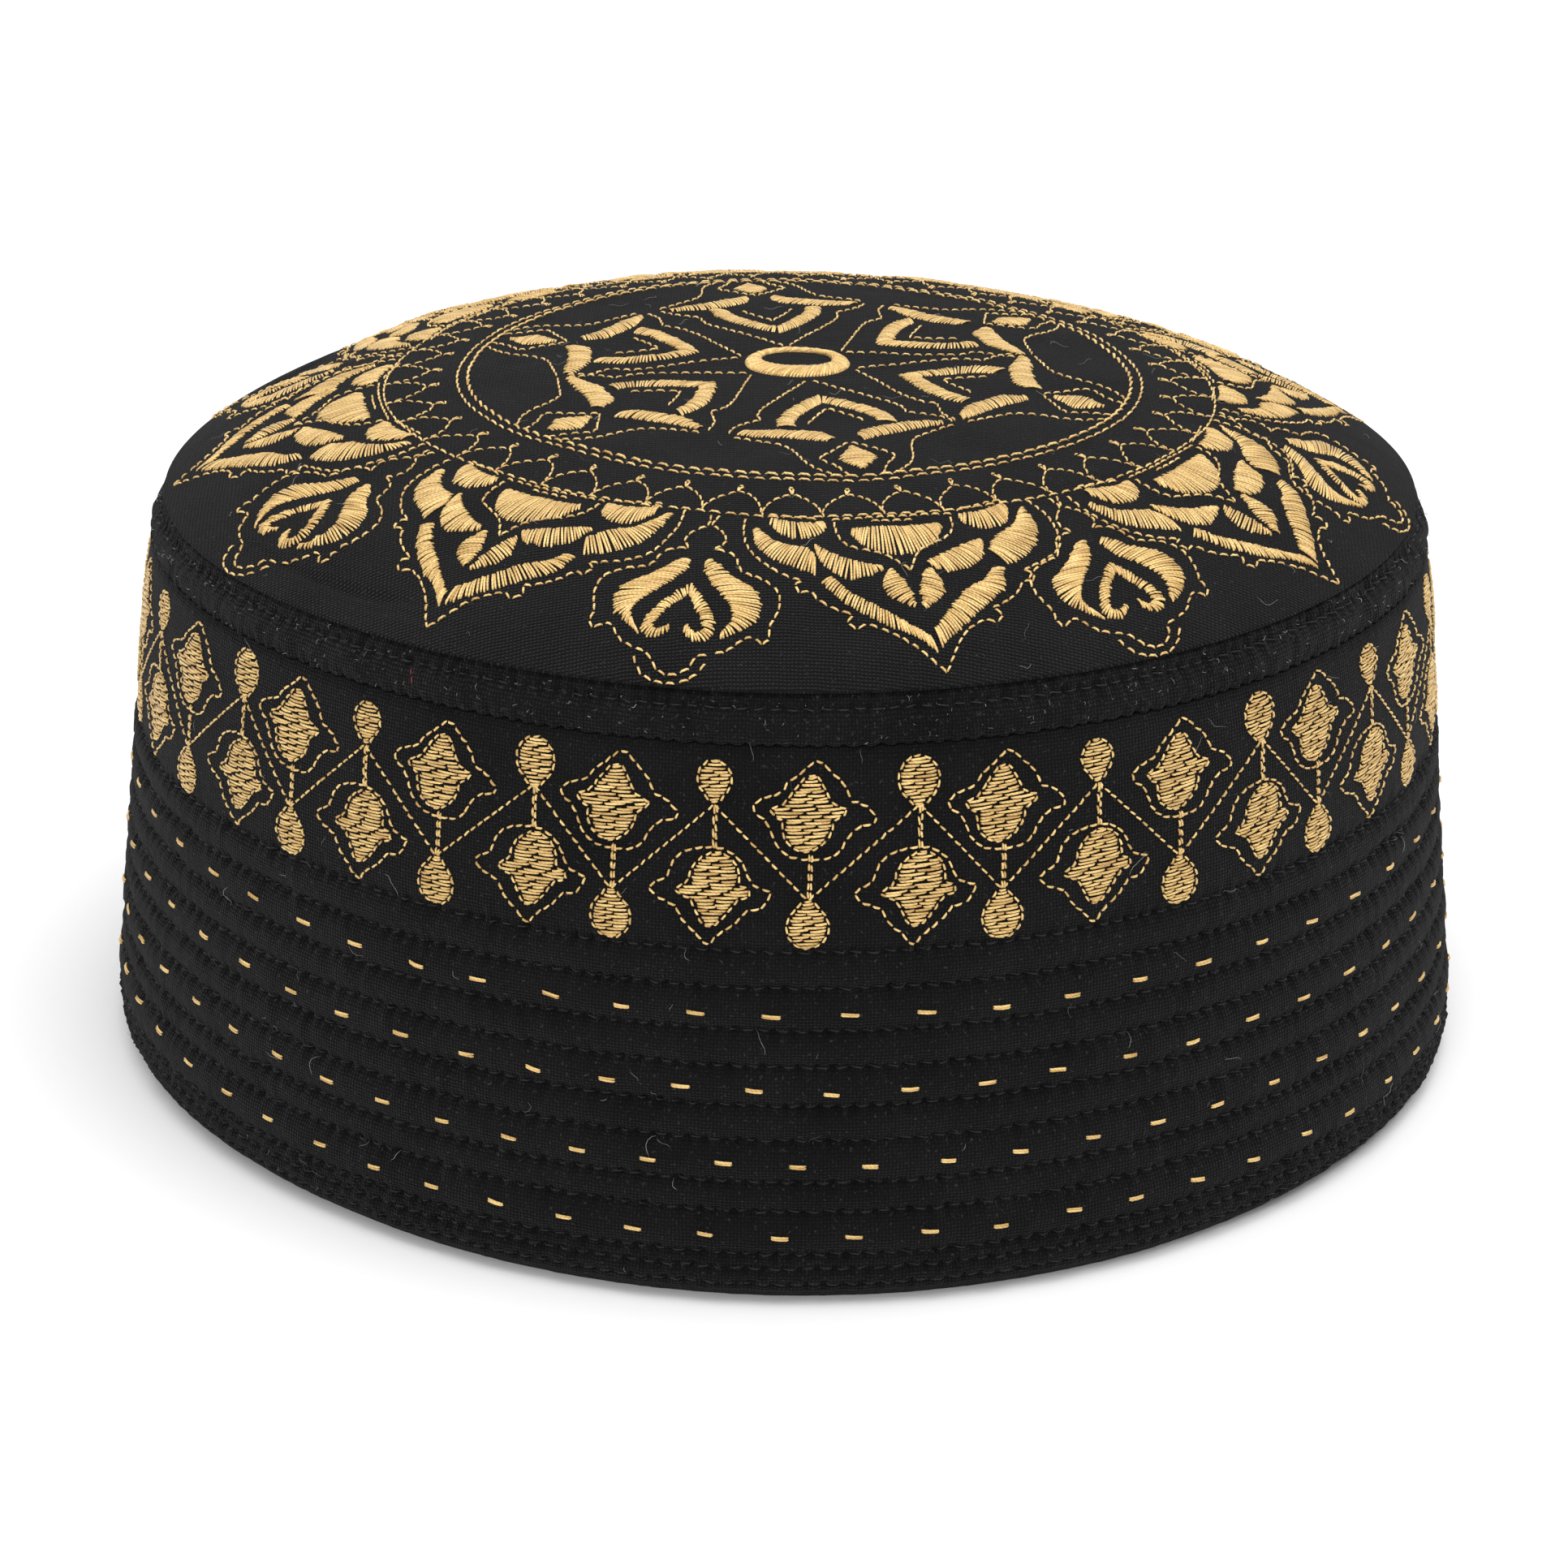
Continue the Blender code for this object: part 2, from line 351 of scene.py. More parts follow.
def new_mesh(name, corners, faces, texture_places):
    """A smooth-shaded mesh object from points, lists of faces and a UV pair for each face corner."""
    mesh = bpy.data.meshes.new(name)
    mesh.vertices.add(len(corners))
    mesh.vertices.foreach_set("co", np.ascontiguousarray(corners, dtype=np.float32).ravel())
    used = np.concatenate([part.ravel() for part in faces]).astype(np.int32)
    sizes = np.concatenate([np.full(len(part), part.shape[1]) for part in faces]).astype(np.int32)
    starts = np.concatenate([[0], np.cumsum(sizes)[:-1]]).astype(np.int32)
    mesh.loops.add(len(used))
    mesh.polygons.add(len(sizes))
    mesh.loops.foreach_set("vertex_index", used)
    mesh.polygons.foreach_set("loop_start", starts)
    mesh.update(calc_edges=True)
    layer = mesh.uv_layers.new(name="cloth_metres")
    flat = np.concatenate([part.reshape(-1, 2) for part in texture_places]).astype(np.float32)
    layer.data.foreach_set("uv", flat.ravel())
    mesh.validate()
    mesh.shade_smooth()
    piece = bpy.data.objects.new(name, mesh)
    bpy.context.scene.collection.objects.link(piece)
    return piece


def dress(piece, slot, finish, *nodes):
    """Give a piece its material and its body, and hide the CAD nodes that it stands for."""
    piece.data.materials.append(finish)
    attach(piece, "root")
    if nodes:
        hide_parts(*nodes)
    return piece


def round_shell(name, rows, row_places, across, girth):
    """A closed shell from rows of points that each go round the cap. The last row joins the first."""
    count, columns = rows.shape[:2]
    row, column = np.meshgrid(np.arange(count), np.arange(columns), indexing="ij")
    next_row = (row + 1) % count
    next_column = (column + 1) % columns
    faces = np.stack([row * columns + column, row * columns + next_column,
                      next_row * columns + next_column, next_row * columns + column], -1).reshape(-1, 4)
    left = column / columns * girth
    right = (column + 1) / columns * girth
    low = row_places[row]
    high = np.append(row_places, row_places[-1] + across)[row + 1]
    places = np.stack([left, low, right, low, right, high, left, high], -1).reshape(-1, 4, 2)
    return new_mesh(name, rows.reshape(-1, 3), [faces], [places])


# Thread

def lay_stitches(lay, starts, ends, width, height, profile, sides, seed):
    """Corner points, faces and UVs of many stitches, each one a low arch that goes in at both ends."""
    shares, lifts, widths = (np.array(column) for column in zip(*profile))
    count, rings = len(starts), len(shares)
    random = np.random.default_rng(seed)
    width = np.broadcast_to(width, count) * random.uniform(0.92, 1.08, count)
    height = np.broadcast_to(height, count) * random.uniform(0.85, 1.15, count)
    pairs = starts[:, None] * (1 - shares[None, :, None]) + ends[:, None] * shares[None, :, None]
    points, normals = lay(pairs)
    points = points + normals * (lifts[None, :] * height[:, None])[..., None]
    direction = np.gradient(points, axis=1)
    direction = direction / np.maximum(np.linalg.norm(direction, axis=-1, keepdims=True), 1e-12)
    side = np.cross(direction, normals)
    side = side / np.maximum(np.linalg.norm(side, axis=-1, keepdims=True), 1e-12)
    up = np.cross(side, direction)
    turn = 2 * math.pi * (np.arange(sides) + 0.5) / sides
    half = (width[:, None] * widths[None, :])[..., None, None] / 2
    thick = (height[:, None] * widths[None, :])[..., None, None] / 2
    corners = (points[:, :, None] + side[:, :, None] * np.cos(turn)[None, None, :, None] * half
               + up[:, :, None] * np.sin(turn)[None, None, :, None] * thick)
    first = (np.arange(count) * rings * sides)[:, None, None]
    ring, step = np.meshgrid(np.arange(rings - 1), np.arange(sides), indexing="ij")
    after = (step + 1) % sides
    quads = np.stack([ring * sides + step, ring * sides + after, (ring + 1) * sides + after,
                      (ring + 1) * sides + step], -1).reshape(1, -1, 4) + first
    cap = np.arange(sides)
    caps = np.stack([cap[::-1], cap + (rings - 1) * sides]).reshape(1, 2, sides) + first
    reach = np.linalg.norm(points[:, -1] - points[:, 0], axis=-1)
    offset = random.uniform(0, 1, (count, 2))
    low = reach[:, None] * shares[None, :-1]
    high = reach[:, None] * shares[None, 1:]
    low = np.repeat(low[:, :, None], sides, 2) + offset[:, :1, None]
    high = np.repeat(high[:, :, None], sides, 2) + offset[:, :1, None]
    girth = (np.arange(sides) / sides * 0.0013)[None, None, :] + offset[:, 1:, None]
    girth_low = np.broadcast_to(girth, low.shape)
    girth_high = girth_low + 0.0013 / sides
    quad_places = np.stack([low, girth_low, low, girth_high, high, girth_high, high, girth_low], -1)
    cap_places = np.broadcast_to(offset[:, None, None, :], (count, 2, sides, 2))
    return corners.reshape(-1, 3), quads.reshape(-1, 4), caps.reshape(-1, sides), \
        quad_places.reshape(-1, 4, 2), cap_places.reshape(-1, sides, 2)


def thread_piece(name, batches, slot, finish):
    """One mesh object from several batches of stitches."""
    corners, faces, places = [], [], []
    first = 0
    for points, quads, caps, quad_places, cap_places in batches:
        corners.append(points)
        faces += [quads + first, caps + first]
        places += [quad_places, cap_places]
        first += len(points)
    return dress(new_mesh(name, np.concatenate(corners), faces, places), slot, finish)


# Share along a stitch, lift over its height, and width over its full width
SATIN_PROFILE = ((0.00, -0.9, 0.50), (0.14, 0.45, 0.92), (0.50, 0.95, 1.0), (0.86, 0.45, 0.92), (1.00, -0.9, 0.50))
RUN_PROFILE = ((0.00, -0.7, 0.50), (0.28, 0.65, 1.05), (0.72, 0.65, 1.05), (1.00, -0.7, 0.50))
SMALL_PROFILE = ((0.00, -0.8, 0.6), (0.3, 0.3, 1.0), (0.7, 0.3, 1.0), (1.00, -0.8, 0.6))


def satin(rail_a, rail_b, pitch, lean, seed, loose=0.07):
    """Starts and ends of close stitches from one rail to the other, with a lean along the rails."""
    line_a, line_b = smooth_path(rail_a), smooth_path(rail_b)
    long_a, long_b = path_length(line_a), path_length(line_b)
    count = max(3, int(round((long_a + long_b) / 2 / pitch)))
    random = np.random.default_rng(seed)
    share = (np.arange(count) + 0.5) / count
    lean = lean / max(long_a, long_b)
    share_a = np.clip(share - lean / 2 + random.normal(0, 0.17, count) / count, 0, 1)
    share_b = np.clip(share + lean / 2 + random.normal(0, 0.17, count) / count, 0, 1)
    starts = along_path(line_a, share_a * long_a)
    ends = along_path(line_b, share_b * long_b)
    over = (ends - starts) / np.maximum(np.linalg.norm(ends - starts, axis=-1, keepdims=True), 1e-9)
    starts = starts - over * random.normal(0.04, loose, (count, 1))
    ends = ends + over * random.normal(0.04, loose, (count, 1))
    return starts, ends


def running(points, length, gap, seed, closed=False, tilt=0.05, smooth=True):
    """Starts and ends of running stitches along a line."""
    points = np.asarray(points, float)
    if smooth:
        line = smooth_path(points, closed)
    else:
        line = np.concatenate([points, points[:1]]) if closed else points
    total = path_length(line)
    count = max(1, int(round(total / (length + gap))))
    pitch = total / count
    random = np.random.default_rng(seed)
    low = np.arange(count) * pitch + random.normal(0, 0.05, count) * length
    high = low + pitch - gap + random.normal(0, 0.04, count) * length
    starts = along_path(line, np.clip(low, 0, total))
    ends = along_path(line, np.clip(high, 0, total))
    way = ends - starts
    across = np.stack([-way[:, 1], way[:, 0]], -1)
    across = across / np.maximum(np.linalg.norm(across, axis=-1, keepdims=True), 1e-9)
    slant = tilt + random.normal(0, 0.04, (count, 1))
    return starts - across * slant, ends + across * slant


# Crown pattern. Millimetres from the pattern's centre: across to the right, and outward.
LOTUS_AXIS = -1.0
LOTUS_SPOTS = (
    {"place": -79.7, "lean": 0.0}, {"place": -34.0, "lean": 0.0}, {"place": 12.9, "lean": 0.0},
    {"place": 57.3, "lean": -2.0}, {"place": 101.0, "lean": 0.0}, {"place": 146.0, "lean": 0.0},
    {"place": 191.0, "lean": 0.0}, {"place": 236.0, "lean": 0.0},
)
LOTUS_FILLS = (
    {"lean": 1.2, "a": ((-1.6, 84.4), (-4, 81.9), (-8, 79.4), (-11.8, 75.6), (-14.4, 71.0)),
     "b": ((-1.6, 82.0), (-4, 80.0), (-7.3, 76.7), (-10.6, 73.4), (-12.2, 70.7))},
    {"lean": -1.2, "a": ((-1.4, 84.4), (2.5, 81.2), (5.2, 78.9), (8.3, 76.1), (10.3, 73.9), (11.0, 70.7)),
     "b": ((-1.0, 80.6), (1.3, 78), (3.3, 75.7), (5.0, 73.9), (7.7, 72.5), (9.2, 70.4))},
    {"lean": 1.5, "a": ((-14.6, 70.2), (-18.3, 67.3), (-20.2, 64.7), (-20.8, 61.7), (-20.2, 57.8)),
     "b": ((-13.6, 66.9), (-13.9, 64.2), (-16.3, 62.8), (-18.0, 61.3), (-19.4, 58.6))},
    {"lean": -1.5, "a": ((11.0, 70.4), (14.6, 68.3), (16.9, 65.3), (17.8, 61.7), (17.1, 56.7)),
     "b": ((9.7, 66.2), (11.0, 63.6), (13.3, 62.0), (15, 60.0), (16.5, 57.2))},
    {"lean": 0.6, "a": ((-2.9, 77.2), (-5.7, 75.2), (-6.2, 73.0), (-4.6, 70.2)),
     "b": ((-2.5, 76.8), (-2.3, 74.6), (-2.7, 72.3), (-4.0, 70.2))},
    {"lean": -0.6, "a": ((-1.7, 77.3), (-1.6, 74.6), (-1.1, 72.4), (0.5, 70.0)),
     "b": ((-1.3, 77.5), (1.5, 75.5), (2.2, 73.3), (1.1, 70.2))},
    {"lean": 1.0, "a": ((-5.3, 70.3), (-9.7, 71.7), (-12, 70.2), (-13.2, 67.3), (-13.2, 64.0)),
     "b": ((-5.3, 69.5), (-8.2, 67.9), (-10.3, 66.3), (-12.0, 64.9), (-13.0, 63.8))},
    {"lean": -1.0, "a": ((1.0, 69.3), (2.7, 70.9), (6, 70.7), (8.5, 68.8), (9.5, 65.0)),
     "b": ((1.0, 68.7), (2.6, 67.4), (5.0, 65.9), (7.4, 65.0), (9.3, 64.6))},
    {"lean": 0.0, "a": ((-7.3, 60.6), (-3.5, 60.2), (0.5, 60.2), (4.3, 60.4)),
     "b": ((-7.9, 62.0), (-6.2, 66.0), (-1.8, 67.7), (2.8, 65.4), (4.9, 61.4))},
    {"lean": 0.0, "a": ((-17.2, 55.7), (-15.0, 56.8), (-12.8, 57.7), (-10.8, 58.4)),
     "b": ((-17.8, 57.6), (-16.6, 61.0), (-13.8, 62.3), (-11.3, 61.2), (-10.5, 59.2))},
    {"lean": 0.0, "a": ((7.8, 58.4), (9.8, 57.7), (12.0, 56.8), (14.2, 55.7)),
     "b": ((7.5, 59.2), (8.3, 61.2), (10.8, 62.3), (13.6, 61.0), (14.8, 57.6))},
)
LOTUS_LINES = (
    ((-1, 87.5), (-2.3, 86), (-4, 83.7), (-6.7, 81.2), (-9.7, 79.3)),
    ((-9.7, 79.3), (-10.6, 80.0), (-11.9, 79.8), (-12.1, 78.4), (-11.0, 77.6)),
    ((-11.2, 77.6), (-13, 76.5), (-15, 74.7), (-15.8, 72.7)),
    ((-15.8, 72.7), (-16.8, 73.2), (-17.7, 72.2), (-17.2, 70.9), (-16.2, 70.9)),
    ((-16.6, 70.8), (-18.6, 69.4), (-20.4, 67), (-21.5, 64.7), (-22, 62), (-21.6, 58.3), (-20.6, 55.2)),
    ((-1, 87.5), (0.5, 85), (2, 82.8), (3.7, 81), (6, 79.7)),
    ((6, 79.7), (7.0, 80.3), (8.3, 79.7), (8.4, 78.4), (7.4, 77.7)),
    ((7.5, 77.7), (8.8, 77.2), (11.3, 75.3), (12.7, 73)),
    ((12.7, 73), (13.8, 73.2), (14.6, 72.2), (14.1, 70.9), (13.2, 70.9)),
    ((13.4, 70.9), (14.9, 70), (17.5, 68.3), (19.5, 66), (20, 62.7), (19.5, 58.7), (17.8, 54.7)),
    ((-1.7, 70.6), (-4, 67.5), (-6.7, 65.9), (-9.0, 64.5), (-9.6, 61.7), (-9.3, 58.6)),
    ((-1.7, 70.6), (0, 67.2), (2, 65.4), (4.6, 63.9), (6.2, 61.7), (6.5, 58.6)),
    ((-9.6, 58.2), (-5, 58.5), (0, 58.5), (7, 58.2)),
    ((-4.6, 59.4), (-1.5, 59.5), (1.6, 59.4)),
    ((-17.6, 55.0), (-14.4, 56.3), (-11.2, 57.6)),
    ((7.6, 57.6), (10.8, 56.4), (14.4, 55.0)),
)
TULIP_AXIS = -0.9
TULIP_SPOTS = (
    {"place": -58.0, "lean": 0.0}, {"place": -10.9, "lean": 0.0}, {"place": 35.5, "lean": -3.2},
    {"place": 79.3, "lean": -7.0}, {"place": 123.5, "lean": 0.0}, {"place": 168.5, "lean": 0.0},
    {"place": 213.5, "lean": 0.0}, {"place": 258.5, "lean": 0.0},
)
TULIP_FILLS = (
    {"lean": 1.0, "a": ((-6.0, 83.0), (-8.5, 81.0), (-10.3, 79.3), (-11.0, 77), (-10.6, 75.0), (-8.75, 73.6),
                        (-7, 72.6), (-5.5, 71.4), (-4, 70.0), (-2.5, 69.2)),
     "b": ((-7.0, 82.0), (-7.7, 79), (-6.75, 77.25), (-5, 75.5), (-3.25, 73.75), (-1.9, 71.5), (-1.6, 69.6))},
    {"lean": -1.0, "a": ((4.2, 83.0), (6, 82.2), (8.4, 80.3), (9.6, 78.25), (9.4, 76), (8.5, 74.2), (6.5, 72.8),
                         (4.4, 71.8), (3.2, 70.6), (1.2, 69.2)),
     "b": ((5, 81.6), (5.6, 79.25), (4.75, 77), (2.75, 75), (1, 73), (0.3, 71), (0.2, 69.6))},
    {"lean": 0.6, "a": ((-2.0, 82.0), (-3.6, 83.4), (-5.4, 83.0), (-6.0, 81.4), (-5.0, 79.0), (-3.3, 76.6), (-0.85, 74)),
     "b": ((-2.1, 81.0), (-3.2, 81.9), (-4.1, 81.8), (-4.2, 81.0), (-3.4, 79.4), (-2.3, 77.8), (-0.8, 76.1))},
    {"lean": -0.6, "a": ((-0.25, 82.0), (1.6, 83.6), (3.5, 83.0), (4.0, 81.4), (3.2, 79.0), (1.6, 76.6), (-0.65, 74)),
     "b": ((0.1, 81.0), (1.2, 82.0), (1.9, 81.9), (2.1, 81.2), (1.5, 79.5), (0.4, 77.8), (-0.7, 76.1))},
)
TULIP_LINES = (
    ((-5.9, 85.2), (-4, 85.9), (-3, 87.3), (-2.25, 88.1), (-0.75, 88.6), (1, 88.1), (2, 87), (2.25, 85.8), (3.9, 85.2)),
    ((-5.9, 86.2), (-5.2, 87.6), (-4.3, 88.7), (-2.75, 89.4), (-0.8, 89.7), (1.2, 89.3), (2.75, 88.3), (4.0, 86.2)),
    ((-6.3, 85), (-8, 84.3), (-9.25, 82.75), (-10.25, 81.4), (-12.1, 82.4), (-13, 81.5), (-12.6, 80), (-13.25, 77.5),
     (-13.5, 75.75), (-13.25, 74), (-12.4, 72.75), (-9.75, 71.5), (-7.25, 71.1)),
    ((-7.25, 71.1), (-6.5, 70.2), (-6.4, 69), (-5.5, 67.75), (-4.25, 67.2), (-2.6, 67.0)),
    ((-2.6, 67.0), (-3.6, 65.25), (-3, 63.5), (-1.9, 62.25), (-0.9, 61.2), (-1.1, 60.0), (-1.4, 58.4)),
    ((4.6, 85), (6.4, 84.2), (7.7, 82.6), (8.7, 81.6), (10.5, 82.6), (11.3, 81.6), (10.9, 80), (11.4, 78.0),
     (11.6, 76.3), (11.3, 74.6), (10.5, 73.3), (8.6, 72.0), (5.5, 71.1)),
    ((5.5, 71.1), (4.9, 70.2), (4.5, 69), (3.8, 67.9), (2.6, 67.2), (0.9, 67.0)),
    ((0.9, 67.0), (2.1, 65.4), (1.6, 63.5), (0.4, 62.0), (-0.7, 61.2), (-0.4, 60.0), (0.0, 58.4)),
)
STAR_AXIS = -1.0
STAR_SPOTS = (
    {"place": 12.0, "lean": 0.0}, {"place": 70.8, "lean": 0.0}, {"place": 126.5, "lean": 0.0},
    {"place": 190.0, "lean": 0.0}, {"place": 252.5, "lean": 0.0}, {"place": 308.6, "lean": 0.0},
)
STAR_FILLS = (
    {"lean": 1.3, "a": ((-1.0, 14.5), (-4.3, 17.4), (-7.7, 21.4), (-9.4, 24.7), (-9.6, 27.4)),
     "b": ((-1.0, 18.0), (-3.0, 20.2), (-5.0, 22.8), (-6.4, 25.0), (-6.8, 27.0))},
    {"lean": -1.3, "a": ((-1.0, 14.5), (2.2, 17.4), (5.6, 21.4), (7.3, 24.7), (7.6, 27.6)),
     "b": ((-1.0, 18.0), (1.0, 20.2), (3.0, 22.8), (4.3, 25.0), (4.8, 27.0))},
    {"lean": -1.2, "a": ((-3.4, 34.6), (-6.4, 33), (-9.7, 31.6), (-13, 30.6), (-15.9, 29.4)),
     "b": ((-2.6, 33.0), (-3.6, 30.3), (-7.0, 28.8), (-10, 27.8), (-15.0, 28.2))},
    {"lean": 1.2, "a": ((1.4, 34.6), (4.4, 33), (7.7, 31.6), (11, 30.6), (13.9, 29.4)),
     "b": ((0.6, 33.0), (1.6, 30.3), (5.0, 28.8), (8, 27.8), (13.0, 28.2))},
    {"lean": 0.0, "a": ((-1.2, 44.0), (-2.6, 42.4), (-4.0, 40.6), (-2.6, 38.6), (-1.2, 36.8)),
     "b": ((-0.8, 44.0), (0.6, 42.4), (2.0, 40.6), (0.6, 38.6), (-0.8, 36.8))},
)
STAR_LINES = (
    ((-3.4, 46.0), (-4.6, 43.0), (-6.3, 40.3), (-4.2, 38.2), (-2.4, 36.4), (-1.0, 35.2)),
    ((1.4, 46.0), (2.6, 43.0), (4.3, 40.3), (2.2, 38.2), (0.4, 36.4), (-1.0, 35.2)),
    ((-5.6, 45.6), (-7.6, 43.4), (-8.7, 40.6), (-9.2, 37.4), (-10.4, 34.4), (-13.4, 32.2), (-16.8, 30.0)),
    ((3.6, 45.6), (5.6, 43.4), (6.7, 40.6), (7.2, 37.4), (8.4, 34.4), (11.4, 32.2), (14.8, 30.0)),
    ((-16.8, 28.6), (-15.4, 26.4), (-12.9, 24.8), (-11.4, 24.0)),
    ((-11.4, 24.0), (-11.2, 21.4), (-9.4, 18.4), (-6.6, 15.0), (-3.8, 11.6), (-1.3, 8.4)),
    ((14.8, 28.6), (13.4, 26.4), (10.9, 24.8), (9.4, 24.0)),
    ((9.4, 24.0), (9.2, 21.4), (7.4, 18.4), (4.6, 15.0), (1.8, 11.6), (-0.7, 8.4)),
    ((-5.0, 26.6), (-3.8, 24.7), (-2.2, 22.4), (-1.0, 21.0)),
    ((-1.0, 21.0), (0.2, 22.4), (1.8, 24.7), (3.0, 26.6)),
)
RINGS = (
    {"radius": 47.7, "stitch": 1.90, "gap": 0.16, "width": 0.00038, "tilt": 0.10},
    {"radius": 46.2, "stitch": 2.20, "gap": 0.04, "width": 0.00046, "tilt": 0.20},
)
OUTER_RING = {"radius": 57.9, "stitch": 1.75, "gap": 0.25}
NET_PAIRS = 22
NET_FIRST = -8.4
NET_STEP = 7.4
NET_TOP = 56.4
NET_TIP = 51.9
CENTRE_RING = {"out_across": 7.4, "out_along": 6.6, "hole_across": 5.15, "hole_along": 3.65, "hole_back": 1.8}


MOTIFS = (
    {"places": LOTUS_SPOTS, "axis": LOTUS_AXIS, "fills": LOTUS_FILLS, "lines": LOTUS_LINES, "tip": 87.5},
    {"places": TULIP_SPOTS, "axis": TULIP_AXIS, "fills": TULIP_FILLS, "lines": TULIP_LINES, "tip": 89.0},
    {"places": STAR_SPOTS, "axis": STAR_AXIS, "fills": STAR_FILLS, "lines": STAR_LINES, "tip": 89.0},
)
TRUE_SPOT = {"place": 0.0, "lean": 0.0}


def pattern_to_plan(points, spot, axis=0.0, tip=87.5):
    """Nominal plan points, in metres, of pattern points that are drawn outward along a spot's place."""
    across = points[..., 0] - axis
    out = points[..., 1]
    reach = np.hypot(across, out)
    turn = math.radians(spot["place"]) + math.radians(spot["lean"]) * (reach - 58) / 30 + np.arctan2(across, out)
    way_x, way_y = np.sin(turn), -np.cos(turn)
    along = PATTERN_X * way_x + PATTERN_Y * way_y
    beside = PATTERN_X * way_y - PATTERN_Y * way_x
    room = np.sqrt(PATTERN_LIMIT ** 2 - beside ** 2) - along
    keep = np.minimum(1.0, (room - PATTERN_SHORTEN_FROM) / (tip - PATTERN_SHORTEN_FROM))
    reach = np.minimum(reach, PATTERN_SHORTEN_FROM) + np.clip(reach - PATTERN_SHORTEN_FROM, 0, None) * keep
    return np.stack([PATTERN_X + reach * way_x, PATTERN_Y + reach * way_y], -1) * MM


def crown_pattern():
    """Stitches of the crown's gold pattern, as fills and as lines, on nominal plan points."""
    fills, lines = [], []
    seed = 1000
    for motif in MOTIFS:
        axis, tip = motif["axis"], motif["tip"]
        for spot in motif["places"]:
            for fill in motif["fills"]:
                seed += 1
                starts, ends = satin(fill["a"], fill["b"], 0.45, fill["lean"], seed, 0.12)
                fills.append((pattern_to_plan(starts, spot, axis, tip), pattern_to_plan(ends, spot, axis, tip)))
            for line in motif["lines"]:
                seed += 1
                starts, ends = running(line, 1.35, 0.22, seed)
                lines.append((pattern_to_plan(starts, spot, axis, tip), pattern_to_plan(ends, spot, axis, tip)))
    return fills, lines


def crown_rings():
    """Stitches of the crown's running rings and its net, with their widths."""
    batches = []
    turn = np.radians(np.arange(0, 360, 1.0))
    for ring in RINGS + (OUTER_RING,):
        points = np.stack([np.sin(turn), np.cos(turn)], -1) * ring["radius"]
        starts, ends = running(points, ring["stitch"], ring["gap"], int(ring["radius"] * 10), True, ring.get("tilt", 0.05), False)
        batches.append((pattern_to_plan(starts, TRUE_SPOT), pattern_to_plan(ends, TRUE_SPOT), ring.get("width", RUN_WIDTH)))
    starts, ends = [], []
    for index in range(2 * NET_PAIRS):
        pair = 360 / NET_PAIRS
        middle = {"place": NET_FIRST + (index // 2) * pair + (index % 2) * NET_STEP, "lean": 0.0}
        side_degrees = (NET_STEP / 2, (pair - NET_STEP) / 2)
        wide_left = math.radians(side_degrees[(index + 1) % 2]) * NET_TOP
        wide = math.radians(side_degrees[index % 2]) * NET_TOP
        skew = 1 if index % 2 else -1
        tip = (0.4 * skew, NET_TIP)
        left = ((-wide_left, NET_TOP + 0.4), (-wide_left * 0.80, NET_TOP - 1.7), (-wide_left * 0.34, NET_TIP + 0.9), tip)
        right = (tip, (wide * 0.40, NET_TIP + 0.8), (wide * 0.82, NET_TOP - 1.6), (wide, NET_TOP + 0.4))
        sprigs = ((tip, (0.1 * skew - 0.35, NET_TIP - 1.6)), (tip, (0.1 * skew + 0.4, NET_TIP - 1.6)),
                  ((0.1 * skew - 0.35, NET_TIP - 1.6), (0.1 * skew + 0.4, NET_TIP - 1.6)),
                  ((wide, NET_TOP + 0.3), (wide + 0.35, NET_TOP + 1.4)))
        for order, line in enumerate((left, right)):
            first, last = running(line, 1.3, 0.2, 4000 + index * 9 + order)
            starts.append(pattern_to_plan(first, middle))
            ends.append(pattern_to_plan(last, middle))
        for order, line in enumerate(sprigs):
            first, last = running(line, 1.5, 0.05, 4004 + index * 9 + order, smooth=False)
            starts.append(pattern_to_plan(first, middle))
            ends.append(pattern_to_plan(last, middle))
    batches.append((np.concatenate(starts), np.concatenate(ends), RUN_WIDTH * 0.92))
    return batches


def centre_ring():
    """Stitches of the raised satin ring in the middle of the crown."""
    count = 96
    turn = np.arange(count) / count * 2 * math.pi
    lean = 0.35
    size = CENTRE_RING
    outer = np.stack([size["out_across"] * np.sin(turn), size["out_along"] * np.cos(turn)], -1)
    inner = np.stack([size["hole_across"] * np.sin(turn + lean),
                      size["hole_along"] * np.cos(turn + lean) - size["hole_back"]], -1)
    return pattern_to_plan(outer, TRUE_SPOT), pattern_to_plan(inner, TRUE_SPOT)


# Frieze on the wall. Millimetres from a flower's stem: along to the right, and up from the rim.
FRIEZE_PAIRS = 11
FRIEZE_FIRST = 11.3
FRIEZE_STEPS = {"large_top": 0.0, "low_after_large": 7.0, "small_top": 15.7, "low_after_small": 23.5}
FRIEZE_RADIUS_MM = 90.87
TOP_APEX = 69.3
LOW_APEX = 56.8
